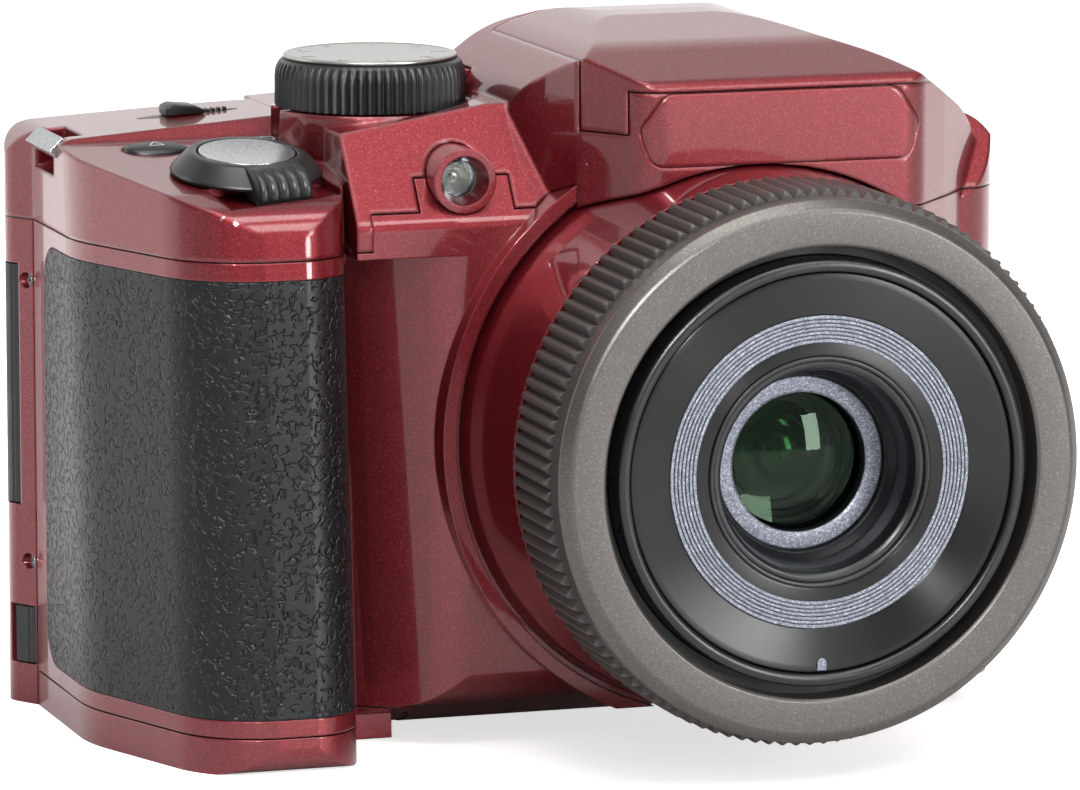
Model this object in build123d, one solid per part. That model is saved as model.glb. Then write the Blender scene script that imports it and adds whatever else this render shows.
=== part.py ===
from build123d import *
import math
import os

# A compact bridge camera with a deep battery grip, a pop-up flash and a zoom lens
# that slides out of a fixed tube. Millimetres, +Z up, the lens looks along -Y, and
# the origin is the mouth of the tripod socket, under the lens axis.

# Clearances and cuts
OVERRUN = 30.0
REACH = 400.0
PRESS_GAP = 0.2
RUN_GAP = 0.12
DOOR_GAP = 0.2
TRIM_GAP = 0.08

# The fixed part of the lens
LENS_HEIGHT = 37.5
FLANGE_RADIUS = 36.6
FLANGE_FRONT = 27.5
GROOVE_RADIUS = 34.9
GROOVE_DEPTH = 1.6
SHROUD_BASE_RADIUS = 34.4
SHROUD_TIP_RADIUS = 32.9
SHROUD_FRONT = 43.5
SHROUD_BORE = 30.0
TUBE_RADIUS = 29.2
TUBE_FRONT = 56.0
TUBE_REAR = 14.0
TUBE_FOOT_RADIUS = 33.0
TUBE_FOOT = 2.0
KNURL_RADIUS = 33.3
KNURL_TOOTH = 1.1
KNURL_TEETH = 120
KNURL_REAR = 43.7
KNURL_FRONT = 56.0
RING_RADIUS = 32.4
RING_BORE = 26.9
RING_FRONT = 60.0
RING_CHAMFER = 1.2

# The whole body, seen from above
FINGER_GAP = 10.1
GRIP_INNER = SHROUD_BASE_RADIUS + FINGER_GAP
GRIP_WIDTH = 31.5
BODY_RIGHT = 36.8
BODY_LEFT = GRIP_INNER + GRIP_WIDTH
BODY_REAR = 24.5
BODY_FRONT = 25.0
WALL = 2.0
CORNER = 6.0
FRONT_CORNER = 8.0
SWEEP_FROM_INNER = 9.5
FRONT_SWEEP = GRIP_INNER - SWEEP_FROM_INNER
FRONT_SWEEP_ROUND = 8.0
SEAM_GAP = 0.18
EDGE_ROUND = 2.0
REAR_SPLIT = 15.4
GRIP_SEAM_HEIGHT = 60.8
FRONT_SEAM_HEIGHT = 65.2
DOOR_SEAM_HEIGHT = 4.3
UNDERSIDE_FRONT = 8.0
UNDERSIDE_RISE = 6.0

# The grip lobe
GRIP_FRONT = 33.5
GRIP_INNER_DEPTH = 17.0
MERGE_FROM_INNER = 4.5
GRIP_MERGE = GRIP_INNER - MERGE_FROM_INNER
GRIP_OVERLAP = 6.0
GRIP_PLANE_GAP = 0.03
GRIP_FOOT_LEAN = 0.6
NOSE_FROM_INNER = 5.0
NOSE_FROM_LEFT = 9.5
GRIP_NOSE_RIGHT = GRIP_INNER + NOSE_FROM_INNER
GRIP_NOSE_LEFT = BODY_LEFT - NOSE_FROM_LEFT
GRIP_SHOULDER_Y = 9.0
GRIP_NOSE_ROUND = 7.0
GRIP_OUTER_ROUND = 12.0
GRIP_PALM_ROUND = 22.0
HEEL_OUT = 2.6
HEEL_Y = 19.5
HEEL_ROUND = 3.0
REAR_ROUND = 4.0
GRIP_TOP_FRONT = 29.0
GRIP_BROW_HEIGHT = 66.5
GRIP_BROW_ROUND = 4.5
GRIP_FOOT_ROUND = 3.0
PLATFORM_FRONT = 22.0
PLATFORM_FRONT_HEIGHT = 68.4
PLATFORM_BACK = 2.0
PLATFORM_BACK_HEIGHT = 71.7
BANK_BACK = 5.0

# The deck
DECK_LEFT_HEIGHT = 72.0
DECK_RIGHT_HEIGHT = 75.4
DECK_RIGHT_X = 25.0
SHOULDER_ROUND = 5.0
RIGHT_SHOULDER_HEIGHT = 74.0
REAR_TOP_ROUND = 4.0

# The lamp block between grip and hump
LAMP_BLOCK_LEFT = GRIP_INNER + WALL
LAMP_BLOCK_RIGHT = 24.6
LAMP_LEFT_HEIGHT = 74.3
LAMP_RIGHT_HEIGHT = 77.4
LAMP_PANEL_TOP_Y = 15.5
LAMP_PANEL_TOP_HEIGHT = 77.0
LAMP_PANEL_FOOT_HEIGHT = 64.0
LAMP_X = 32.9
LAMP_HEIGHT = 68.9
LAMP_COLLAR_RADIUS = 3.9
LAMP_COLLAR_FRONT = 24.6
LAMP_COLLAR_DEPTH = 9.0
LAMP_WINDOW_RADIUS = 2.1
LAMP_WINDOW_DEPTH = 2.0
LAMP_CONE_DEPTH = 2.6
LAMP_RIM = 0.9
LAMP_TAB_LEFT = 38.3
LAMP_TAB_RIGHT = 26.6
LAMP_TAB_HEIGHT = 69.0

# The hump over the lens
HUMP_LEFT = 25.0
HUMP_REAR = 15.0
SOFFIT_GAP = 0.3
FLANGE_FOOT = 4.0
HUMP_FRONT = 36.6
HUMP_TOP = 86.6
HUMP_BASE = 60.0
HUMP_WIDTH = HUMP_LEFT + BODY_RIGHT
HUMP_RISE = HUMP_TOP - HUMP_BASE
HUMP_DEPTH = HUMP_FRONT + HUMP_REAR
HUMP_ARCH_SHARES = (
    (0.00, 0.00, 0.00), (0.00, 0.68, 0.14), (0.09, 0.90, 0.20), (0.22, 0.995, 0.30),
    (0.52, 0.995, 0.40), (0.70, 0.86, 0.40), (0.91, 0.56, 0.20), (1.00, 0.26, 0.10), (1.00, 0.00, 0.00),
)
HUMP_PLAN_SHARES = (
    (0.00, 1.00, 0.00), (0.00, 0.40, 0.00), (0.085, 0.17, 0.08), (0.18, 0.00, 0.08),
    (0.735, 0.00, 0.08), (0.83, 0.13, 0.10), (1.00, 0.38, 0.10), (1.00, 1.00, 0.00),
)
HUMP_SIDE_SHARES = (
    (0.00, 0.00, 0.00), (0.00, 0.79, 0.04), (0.22, 0.93, 0.40), (0.55, 1.00, 0.50),
    (0.86, 0.98, 0.25), (1.00, 0.62, 0.10), (1.00, 0.00, 0.00),
)

# The moving part of the lens
BARREL_RADIUS = 25.4
BARREL_WALL = 1.5
BARREL_FRONT = 60.0
BARREL_LENGTH = 36.0
INNER_FRONT = 59.4
INNER_WALL = 1.6
INNER_LENGTH = 32.0
INNER_FACE = 2.4
INNER_BORE = 13.2
INNER_SPIGOT_DEPTH = 9.5
FACE_SLOPE = 0.9
RIB_OUTER = 18.7
RIB_INNER = 14.2
RIB_COUNT = 7
RIB_DEPTH = 0.35
CELL_RADIUS = INNER_BORE - TRIM_GAP
CELL_MOUTH = 12.2
CELL_FRONT = 58.2
CELL_SEAT = 51.3
CELL_REAR = 47.0
ANNULUS_RADIUS = 10.4
GLASS_RADIUS = 8.3
GLASS_SEAT = 0.6
GLASS_FRONT = 51.6
GLASS_DOME = 1.9
FOCUS_RADIUS = 6.0
FOCUS_THICKNESS = 3.0
FOCUS_RING_RADIUS = 10.0

# Mode dial
DIAL_FROM_HUMP = 13.1
DIAL_X = HUMP_LEFT + DIAL_FROM_HUMP
DIAL_Y = 2.5
DIAL_BASE = 75.9
DIAL_LIP_HEIGHT = 0.9
DIAL_LIP_RADIUS = 12.1
DIAL_TOP = 81.7
DIAL_RADIUS = 11.2
DIAL_TOOTH = 0.45
DIAL_TEETH = 64
DIAL_CAP_RADIUS = 10.6
DIAL_CAP_HEIGHT = 0.6
DIAL_CAP_SINK = 0.4
DIAL_SHAFT_RADIUS = 3.0
DIAL_SHAFT_LENGTH = 9.0
DIAL_BOSS_RADIUS = 13.0

# Shutter button and zoom lever
SHUTTER_FROM_INNER = 12.7
SHUTTER_X = GRIP_INNER + SHUTTER_FROM_INNER
SHUTTER_Y = 14.3
SHUTTER_RADIUS = 5.8
SHUTTER_CAP = 1.2
SHUTTER_DISH = 0.45
SHUTTER_STEM_RADIUS = 2.0
SHUTTER_STEM_LENGTH = 7.0
SHUTTER_TRAVEL = 0.9
LEVER_RADIUS = 9.2
LEVER_TOP_RADIUS = 7.0
LEVER_HEIGHT = 2.6
LEVER_SEAT = 0.25
LEVER_HUB_RADIUS = 4.2
LEVER_HUB_LENGTH = 3.4
LEVER_TAB_WIDTH = 7.2
LEVER_TAB_REACH = 10.8
LEVER_TAB_HEIGHT = 3.4
LEVER_TAB_TURN = 12.0
LEVER_RIBS = 6
LEVER_RIB_DEPTH = 0.35
LEVER_SWING = 20.0
LEVER_POCKET_DEPTH = 1.2

# Buttons on top
TOP_BUTTON_LENGTH = 8.0
TOP_BUTTON_WIDTH = 5.0
TOP_BUTTON_STAND = 0.5
TOP_BUTTON_DEPTH = 3.4
FLASH_MODE_FROM_INNER = 20.5
FLASH_MODE_X = GRIP_INNER + FLASH_MODE_FROM_INNER
FLASH_MODE_Y = 1.6
BURST_FROM_INNER = 7.0
BURST_X = GRIP_INNER + BURST_FROM_INNER
BURST_Y = 1.2
POWER_FROM_INNER = 12.8
POWER_X = GRIP_INNER + POWER_FROM_INNER
POWER_Y = 14.0
POWER_TRAVEL = 3.0
POWER_KNOB_LENGTH = 5.0
POWER_KNOB_WIDTH = 3.6
POWER_KNOB_HEIGHT = 1.6
POWER_SLOT_WIDTH = 1.8
POWER_STEM_WIDTH = 1.5
POWER_STEM_LENGTH = 2.4
POWER_FOOT_LENGTH = 6.0
POWER_FOOT_WIDTH = 5.0
POWER_FOOT_HEIGHT = 1.0

# Flash hood
HOOD_LEFT = 19.5
HOOD_RIGHT = 25.5
HOOD_WING_RIGHT = 15.6
HOOD_FLOOR = 80.2
HOOD_WING_FLOOR = 75.0
HOOD_WALL = 1.4
HINGE_Y = 2.0
HINGE_DROP = 4.0
HINGE_HEIGHT = HUMP_TOP - HINGE_DROP
HINGE_PIN_RADIUS = 0.9
HINGE_KNUCKLE_RADIUS = 2.0
HINGE_EAR_WIDTH = 3.0
HINGE_LEFT = 14.5
HINGE_RIGHT = 10.0
HOOD_OPENING = 38.0
FLASH_CASE_LEFT = 13.0
FLASH_CASE_RIGHT = 17.0
FLASH_CASE_FRONT = 31.0
FLASH_CASE_REAR = 18.0
FLASH_CASE_FLOOR = 77.6
FLASH_CASE_TOP = 81.6
FLASH_CASE_WALL = 0.8
FLASH_WINDOW_THICKNESS = 0.9
FLASH_TUBE_RADIUS = 1.1
WELL_CLEARANCE = 0.6
RELEASE_Y = 4.6
RELEASE_HEIGHT = 77.4
RELEASE_LENGTH = 5.0
RELEASE_TALL = 3.2
RELEASE_STAND = 1.4
RELEASE_DEPTH = 3.0
RELEASE_TRAVEL = 0.8
FRONT_PLATE_LEFT = 14.6
FRONT_PLATE_RIGHT = 20.6
FRONT_PLATE_FLOOR = 71.2
FRONT_PLATE_TOP = 79.9
FRONT_PLATE_DEPTH = 1.4

# Grip rubber
RUBBER_THICKNESS = 1.1
RUBBER_TOP = 58.6
RUBBER_FLOOR = 6.6
RUBBER_BACK = 10.5
RUBBER_RIGHT = GRIP_INNER + RUBBER_THICKNESS
RUBBER_CORNER = 5.0

# Rear face
KEY_BOARD_FRONT = 19.0
KEY_BOARD_THICKNESS = 1.0
SCREEN_FROM_INNER = 8.0
SCREEN_LEFT = GRIP_INNER - SCREEN_FROM_INNER
SCREEN_RIGHT = 32.0
SCREEN_FLOOR = 7.0
SCREEN_TOP = 58.5
SCREEN_CORNER = 2.0
SCREEN_GLASS = 1.0
PANEL_THICKNESS = 2.6
PANEL_MARGIN = 2.5
REAR_BUTTON_RADIUS = 3.0
REAR_BUTTON_STAND = 0.6
REAR_BUTTON_FLANGE = 0.7
REAR_BUTTON_TRAVEL = 0.5
REAR_BUTTON_FROM_LEFT = 10.0
REAR_BUTTON_FROM_INNER = 3.0
REAR_BUTTON_LEFT_X = BODY_LEFT - REAR_BUTTON_FROM_LEFT
REAR_BUTTON_RIGHT_X = GRIP_INNER + REAR_BUTTON_FROM_INNER
VIDEO_BUTTON_DROP = 4.8
VIDEO_BUTTON_PITCH = 9.5
VIDEO_BUTTON_HEIGHT = GRIP_SEAM_HEIGHT - VIDEO_BUTTON_DROP
REAR_BUTTON_HIGH = VIDEO_BUTTON_HEIGHT - VIDEO_BUTTON_PITCH
REAR_BUTTON_LOW = 13.0
BUTTON_STEM_RADIUS = 1.5
VIDEO_FROM_INNER = 2.0
VIDEO_BUTTON_X = GRIP_INNER + VIDEO_FROM_INNER
VIDEO_BUTTON_RADIUS = 2.6
PAD_FROM_INNER = 12.0
PAD_X = GRIP_INNER + PAD_FROM_INNER
PAD_HEIGHT = 30.0
PAD_RADIUS = 9.0
PAD_BORE = 3.9
SET_RADIUS = 3.6
PAD_TILT_GAP = 0.5
SET_FLANGE = 0.4
BOARD_FROM_LEFT = 6.0
BOARD_FROM_INNER = 5.5
BOARD_LEFT_EDGE = BODY_LEFT - BOARD_FROM_LEFT
BOARD_RIGHT_EDGE = GRIP_INNER - BOARD_FROM_INNER
THUMB_FROM_LEFT = 3.0
THUMB_FROM_INNER = 8.0
THUMB_DROP = 1.2
THUMB_BUTTON_GAP = 1.0
THUMB_LEFT = BODY_LEFT - THUMB_FROM_LEFT
THUMB_RIGHT = GRIP_INNER + THUMB_FROM_INNER
THUMB_FLOOR = REAR_BUTTON_HIGH + REAR_BUTTON_RADIUS + THUMB_BUTTON_GAP
THUMB_TOP = GRIP_SEAM_HEIGHT - THUMB_DROP
THUMB_ROUND = 3.0
THUMB_STAND = 1.2

# Doors
FLAP_THICKNESS = 1.6
USB_FLOOR = 25.2
USB_TOP = 55.0
USB_FRONT = 18.8
USB_REAR = 22.4
DC_FLOOR = 5.2
DC_TOP = 12.2
DC_FRONT = 16.8
DC_REAR = 19.3
DOOR_HINGE_FROM_INNER = 6.3
DOOR_HINGE_X = GRIP_INNER - DOOR_HINGE_FROM_INNER
DOOR_HINGE_HEIGHT = 1.4
DOOR_BARREL = 1.2
DOOR_REAR = 14.6
DOOR_FLOOR = 1.6
LATCH_FROM_LEFT = 10.0
LATCH_X = BODY_LEFT - LATCH_FROM_LEFT
LATCH_Y = 2.0
LATCH_LENGTH = 9.0
LATCH_WIDTH = 5.0
LATCH_DEPTH = 1.0
LATCH_TRAVEL = 3.0
LATCH_BOLT_WIDTH = 3.6
LATCH_BOLT_THICKNESS = 1.0

# Ports behind the side flaps
USB_PORT_HEIGHT = 44.0
USB_PORT_LENGTH = 8.0
USB_PORT_WIDTH = 3.5
USB_PORT_INSET = 0.6
USB_PORT_DEPTH = 5.0
USB_PORT_LEFT = BODY_LEFT - USB_PORT_INSET
USB_PORT_RIGHT = USB_PORT_LEFT - USB_PORT_DEPTH
USB_PORT_WALL = 0.5
USB_TONGUE = 0.8
DC_JACK_LEFT = BODY_LEFT - WALL
DC_JACK_DEPTH = 3.4
DC_JACK_RIGHT = DC_JACK_LEFT - DC_JACK_DEPTH
DC_JACK_FRONT = 16.6
DC_JACK_REAR = 21.2
DC_JACK_TOP = 12.4
DC_JACK_BORE = 1.9
DC_PIN_RADIUS = 0.5

# Battery bay and cells
CELL_DIAMETER = 14.3
CELL_LENGTH = 49.2
CELL_NUB_RADIUS = 2.6
CELL_NUB = 1.2
CELL_FLOOR = 5.6
BAY_GAP = 0.25
BAY_TOP = 57.6
BAY_CEILING = 0.8
BAY_FROM_INNER = 5.1
BAY_RIGHT = GRIP_INNER - BAY_FROM_INNER
BAY_FRONT = 31.0
BAY_REAR = 14.0
BAY_FLOOR = 5.0
CONTACT_THICKNESS = 0.4
FRONT_CELL_FROM_INNER = 15.7
FRONT_CELL_X = GRIP_INNER + FRONT_CELL_FROM_INNER
FRONT_CELL_Y = 19.0
LEFT_CELL_FROM_INNER = 21.1
LEFT_CELL_X = GRIP_INNER + LEFT_CELL_FROM_INNER
LEFT_CELL_Y = 5.4
RIGHT_CELL_FROM_INNER = 6.1
RIGHT_CELL_X = GRIP_INNER + RIGHT_CELL_FROM_INNER
RIGHT_CELL_Y = 7.4
REAR_CELL_FROM_INNER = 11.7
REAR_CELL_X = GRIP_INNER + REAR_CELL_FROM_INNER
REAR_CELL_Y = 6.4
CONTACT_RADIUS = 2.5
DOOR_BLOCK_INSET = 1.4

# Things inside
SOCKET_RADIUS = 3.175
SOCKET_DEPTH = 6.0
SOCKET_BUSH_RADIUS = 6.0
SOCKET_BUSH_FLANGE_RADIUS = 7.2
SOCKET_BUSH_FLANGE = 1.0
CHASSIS_Y = 10.0
CHASSIS_THICKNESS = 1.0
CHASSIS_LEFT = 34.0
CHASSIS_RIGHT = 33.5
CHASSIS_TOP = 66.0
BOARD_Y = 13.4
BOARD_THICKNESS = 1.2
BOARD_MARGIN = 3.0
BOARD_STANDOFF_RADIUS = 1.8
CHIP_SIDE = 12.0
CHIP_HEIGHT = 1.4
SENSOR_SIDE = 9.0
MOTOR_RADIUS = 4.5
MOTOR_LENGTH = 14.0
MOTOR_X = 25.0
MOTOR_HEIGHT = 13.5
MOTOR_SHAFT_RADIUS = 1.0
MOTOR_EAR_RADIUS = 7.0
CAPACITOR_RADIUS = 4.2
CAPACITOR_LENGTH = 26.0
CAPACITOR_X = 8.0
CAPACITOR_Y = 4.0
SPEAKER_RADIUS = 6.0
SPEAKER_THICKNESS = 3.0
SPEAKER_Y = 2.0
SPEAKER_HEIGHT = 46.0
SPEAKER_HOLE_RADIUS = 0.6
SPEAKER_HOLE_PITCH = 2.2
CARD_WIDTH = 24.0
CARD_HEIGHT = 32.0
CARD_THICKNESS = 2.1
CARD_FROM_INNER = 2.9
CARD_X = GRIP_INNER - CARD_FROM_INNER
CARD_FLOOR = 5.4
CARD_Y = 0.6
CARD_GAP = 0.15

# Strap lugs
LUG_Y = 9.5
LUG_TUNNEL = 9.0
LUG_GRIP = 1.4
LUG_WIDTH = 2.4
LUG_THICKNESS = 1.1
LUG_INSET = 0.3
SCOOP_RADIUS = 3.6
SCOOP_WALL = 1.2

# Screws
SCREW_RADIUS = 0.6
SCREW_HEAD_RADIUS = 0.9
SCREW_HEAD = 0.7
SCREW_LENGTH = 4.5
SCREW_SINK = 0.3
SCREW_SLOT = 0.3
SCREW_SLOT_WIDTH = 0.3
SIDE_SCREW_Y = 16.55
SIDE_SCREW_INSET = 0.4
SIDE_SCREW_SEAT = BODY_LEFT - SIDE_SCREW_INSET
SIDE_SCREW_HIGH = 53.2
SIDE_SCREW_LOW = 18.0
SCREW_TAB = 5.0
SCREW_TAB_THICKNESS = 2.4
SCREW_TAB_BACK = 17.6
FOOT_SCREW_X = 28.0
FOOT_SCREW_Y = 6.5
SLOT_SHARE = 0.8


# Directions
FORWARD = (0, -1, 0)
BACKWARD = (0, 1, 0)
UPWARD = (0, 0, 1)


# Simple shapes

def signed_area(points):
    """Positive where the points run anticlockwise."""
    area = 0
    for index, (x, y) in enumerate(points):
        next_x, next_y = points[(index + 1) % len(points)]
        area += (x * next_y - next_x * y) / 2
    return area


def inset_corners(corners, inset):
    """The same outline moved inwards, with each round kept on its own centre."""
    turn = math.copysign(1, signed_area([(x, y) for x, y, _ in corners]))
    moved = []
    for index, (x, y, rounding) in enumerate(corners):
        before = Vector(*corners[index - 1][:2])
        here = Vector(x, y)
        after = Vector(*corners[(index + 1) % len(corners)][:2])
        arrive = (here - before).normalized()
        leave = (after - here).normalized()
        arrive_in = Vector(-arrive.Y, arrive.X) * turn
        leave_in = Vector(-leave.Y, leave.X) * turn
        shift = (arrive_in + leave_in) * (inset / (1 + arrive_in.dot(leave_in)))
        convex = (arrive.X * leave.Y - arrive.Y * leave.X) * turn > 0
        if rounding > 0 and convex:
            rounding = max(rounding - inset, 0)
        elif rounding > 0:
            rounding = rounding + inset
        moved.append((x + shift.X, y + shift.Y, rounding))
    return moved


def rounded_face(corners, inset=0):
    """A flat face through the corners, each with its own round, moved inwards by the inset."""
    placed = inset_corners(corners, inset)
    face = make_face(Polyline(*[(x, y) for x, y, _ in placed], close=True))
    for x, y, rounding in placed:
        if rounding > 0:
            corner = face.vertices().sort_by_distance((x, y))[0]
            face = fillet(corner, rounding)
    return face


def shared_corners(shares, left, floor, width, height):
    """Corners given as shares of a width and a height."""
    return [(left + width * across, floor + height * up, width * rounding)
            for across, up, rounding in shares]


def upright(face, floor, top):
    """A plan outline raised from floor to top."""
    return extrude(Plane.XY.offset(floor) * face, top - floor, dir=(0, 0, 1))


def crosswise(face, left, right):
    """A side outline (Y, Z) drawn out along X."""
    return extrude(Plane.YZ.offset(left) * face, right - left, dir=(1, 0, 0))


def lengthwise(face, front, rear):
    """A front outline (X, Z) drawn out along Y."""
    return extrude(Plane.XZ.offset(-rear) * face, rear - front, dir=(0, -1, 0))


def block(left, right, front, rear, floor, top):
    """A box between six planes."""
    centre = Pos((left + right) / 2, (front + rear) / 2, (floor + top) / 2)
    return centre * Box(right - left, rear - front, top - floor)


def rod(radius, start, direction, length):
    """A round bar from a start point."""
    base = Plane(origin=start, z_dir=direction)
    return base * Cylinder(radius, length, align=(Align.CENTER, Align.CENTER, Align.MIN))


def taper(start_radius, end_radius, start, direction, length):
    """A round bar that changes radius evenly."""
    base = Plane(origin=start, z_dir=direction)
    return base * Cone(start_radius, end_radius, length, align=(Align.CENTER, Align.CENTER, Align.MIN))


def lens_disc(radius, front, rear):
    """A disc on the lens axis between two distances ahead of the origin."""
    return rod(radius, (0, -front, LENS_HEIGHT), (0, 1, 0), front - rear)


def lens_ring(radius, bore, front, rear):
    """A tube on the lens axis."""
    return lens_disc(radius, front, rear) - lens_disc(bore, front + OVERRUN, rear - OVERRUN)


def lens_cone(front_radius, rear_radius, front, rear):
    """A cone on the lens axis."""
    return taper(front_radius, rear_radius, (0, -front, LENS_HEIGHT), (0, 1, 0), front - rear)


def toothed_face(radius, tooth, count):
    """A round outline with evenly spaced pointed teeth."""
    points = []
    for index in range(count):
        tip = 2 * math.pi * index / count
        root = 2 * math.pi * (index + 0.5) / count
        points.append((radius * math.cos(tip), radius * math.sin(tip)))
        points.append(((radius - tooth) * math.cos(root), (radius - tooth) * math.sin(root)))
    return make_face(Polyline(*points, close=True))


def bench_screw(head, direction):
    """A small cross-slot screw whose head seats at a point and drives along a direction."""
    seat = Plane(origin=head, z_dir=direction)
    shank = seat * Cylinder(SCREW_RADIUS, SCREW_LENGTH, align=(Align.CENTER, Align.CENTER, Align.MIN))
    cap = seat * Cylinder(SCREW_HEAD_RADIUS, SCREW_HEAD, align=(Align.CENTER, Align.CENTER, Align.MAX))
    top = seat * Pos(0, 0, -SCREW_HEAD)
    bar = Box(2 * SCREW_HEAD_RADIUS * SLOT_SHARE, SCREW_SLOT_WIDTH, 2 * SCREW_SLOT)
    return shank + cap - top * bar - top * Rot(0, 0, 90) * bar


# The outer form of the body, which the covers share

def deck_height(x):
    """The deck rises evenly from the grip side towards the hump."""
    heel = BODY_LEFT + HEEL_OUT
    slope = (DECK_RIGHT_HEIGHT - DECK_LEFT_HEIGHT) / (heel - DECK_RIGHT_X)
    return DECK_LEFT_HEIGHT + slope * (x + heel)


def platform_height(y):
    """The platform round the shutter rises evenly from front to back."""
    slope = (PLATFORM_BACK_HEIGHT - PLATFORM_FRONT_HEIGHT) / (PLATFORM_BACK + PLATFORM_FRONT)
    return PLATFORM_FRONT_HEIGHT + slope * (y + PLATFORM_FRONT)


def grip_lean():
    """How far the grip's front goes forward for each millimetre upward, as a share."""
    return (GRIP_FRONT + GRIP_FOOT_LEAN - GRIP_TOP_FRONT) / GRIP_BROW_HEIGHT


def leaning(face, floor, top):
    """A plan outline raised from floor to top along the grip's lean."""
    direction = Vector(0, grip_lean(), 1)
    base = Pos(0, grip_lean() * floor, 0) * (Plane.XY.offset(floor) * face)
    return extrude(base, (top - floor) * direction.length, dir=tuple(direction.normalized()))


def grip_nose():
    """The front of the grip at the ground, from above."""
    front = GRIP_FRONT + GRIP_FOOT_LEAN
    return [
        (-GRIP_MERGE, GRIP_OVERLAP, 0),
        (-GRIP_MERGE, -GRIP_INNER_DEPTH, 0),
        (-GRIP_INNER, -GRIP_INNER_DEPTH, 0),
        (-GRIP_NOSE_RIGHT, -front, GRIP_NOSE_ROUND),
        (-GRIP_NOSE_LEFT, -front, GRIP_OUTER_ROUND),
        (-BODY_LEFT, -GRIP_SHOULDER_Y, GRIP_PALM_ROUND),
        (-BODY_LEFT, GRIP_OVERLAP, 0),
    ]


def grip_heel():
    """The rear of the grip from above."""
    heel = BODY_LEFT + HEEL_OUT
    return [
        (-GRIP_MERGE, BODY_REAR, 0),
        (-GRIP_MERGE, 0, 0),
        (-BODY_LEFT, 0, 0),
        (-BODY_LEFT, REAR_SPLIT, 0),
        (-heel, HEEL_Y, HEEL_ROUND),
        (-heel + HEEL_OUT / 2, BODY_REAR, REAR_ROUND),
    ]


def grip_side(inset):
    """The grip from the side. Its front plane keeps just ahead of the leaning nose's."""
    ahead = inset * (math.hypot(1, grip_lean()) - 1) - GRIP_PLANE_GAP
    return [
        (BODY_REAR, 0, EDGE_ROUND),
        (-GRIP_FRONT - GRIP_FOOT_LEAN - ahead, 0, GRIP_FOOT_ROUND),
        (-GRIP_TOP_FRONT - ahead, GRIP_BROW_HEIGHT, GRIP_BROW_ROUND),
        (-PLATFORM_FRONT, PLATFORM_FRONT_HEIGHT, GRIP_BROW_ROUND),
        (PLATFORM_BACK, PLATFORM_BACK_HEIGHT, EDGE_ROUND),
        (BANK_BACK, RIGHT_SHOULDER_HEIGHT, EDGE_ROUND),
        (BODY_REAR, RIGHT_SHOULDER_HEIGHT, REAR_TOP_ROUND),
    ]


def main_plan():
    left = GRIP_INNER + WALL
    return [
        (-left, BODY_REAR, 0),
        (-left, -GRIP_INNER_DEPTH, 0),
        (-FRONT_SWEEP, -BODY_FRONT, FRONT_SWEEP_ROUND),
        (BODY_RIGHT, -BODY_FRONT, FRONT_CORNER),
        (BODY_RIGHT, BODY_REAR, CORNER),
    ]


def main_side():
    return [
        (BODY_REAR, 0, EDGE_ROUND),
        (-UNDERSIDE_FRONT, 0, CORNER),
        (-BODY_FRONT, UNDERSIDE_RISE, REAR_ROUND),
        (-BODY_FRONT, LAMP_PANEL_FOOT_HEIGHT, EDGE_ROUND),
        (-LAMP_PANEL_TOP_Y, LAMP_PANEL_TOP_HEIGHT, 0),
        (BODY_REAR, LAMP_PANEL_TOP_HEIGHT, REAR_TOP_ROUND),
    ]


def front_profile():
    heel = BODY_LEFT + HEEL_OUT
    return [
        (-heel, 0, EDGE_ROUND),
        (BODY_RIGHT, 0, EDGE_ROUND),
        (BODY_RIGHT, RIGHT_SHOULDER_HEIGHT, SHOULDER_ROUND),
        (-DECK_RIGHT_X, DECK_RIGHT_HEIGHT, 0),
        (-heel, DECK_LEFT_HEIGHT, SHOULDER_ROUND),
    ]


def grip_form(inset):
    """The grip lobe, from its nose to the rear face."""
    nose = leaning(rounded_face(grip_nose(), inset), -OVERRUN, REACH)
    heel = upright(rounded_face(grip_heel(), inset), -OVERRUN, REACH)
    form = (nose + heel) & crosswise(rounded_face(grip_side(inset), inset), -REACH, REACH)
    return form & lengthwise(rounded_face(front_profile(), inset), -REACH, REACH)


def main_form(inset):
    """The body behind the lens."""
    form = upright(rounded_face(main_plan(), inset), -OVERRUN, REACH)
    form = form & crosswise(rounded_face(main_side(), inset), -REACH, REACH)
    return form & lengthwise(rounded_face(front_profile(), inset), -REACH, REACH)


def lamp_block(inset):
    """The faceted block that holds the focus lamp."""
    outline = [
        (-LAMP_BLOCK_LEFT, HUMP_BASE, 0),
        (-LAMP_BLOCK_RIGHT, HUMP_BASE, 0),
        (-LAMP_BLOCK_RIGHT, LAMP_RIGHT_HEIGHT, 0),
        (-LAMP_BLOCK_LEFT, LAMP_LEFT_HEIGHT, 0),
    ]
    form = lengthwise(rounded_face(outline, inset), -BODY_FRONT - WALL, -DIAL_Y)
    return form & crosswise(rounded_face(main_side(), inset), -REACH, REACH)


def hump_form(inset):
    """The arched housing over the lens."""
    arch = shared_corners(HUMP_ARCH_SHARES, -HUMP_LEFT, HUMP_BASE, HUMP_WIDTH, HUMP_RISE)
    plan = shared_corners(HUMP_PLAN_SHARES, -HUMP_LEFT, -HUMP_FRONT, HUMP_WIDTH, HUMP_DEPTH)
    side = shared_corners(HUMP_SIDE_SHARES, -HUMP_FRONT, HUMP_BASE, HUMP_DEPTH, HUMP_RISE)
    form = lengthwise(rounded_face(arch, inset), -REACH, REACH)
    form = form & upright(rounded_face(plan, inset), 0, REACH)
    return form & crosswise(rounded_face(side, inset), -REACH, REACH)


def dial_seat():
    """The round space that the mode dial turns in."""
    return rod(DIAL_BOSS_RADIUS, (-DIAL_X, -DIAL_Y, DIAL_BASE - PRESS_GAP), (0, 0, 1), REACH)


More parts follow.
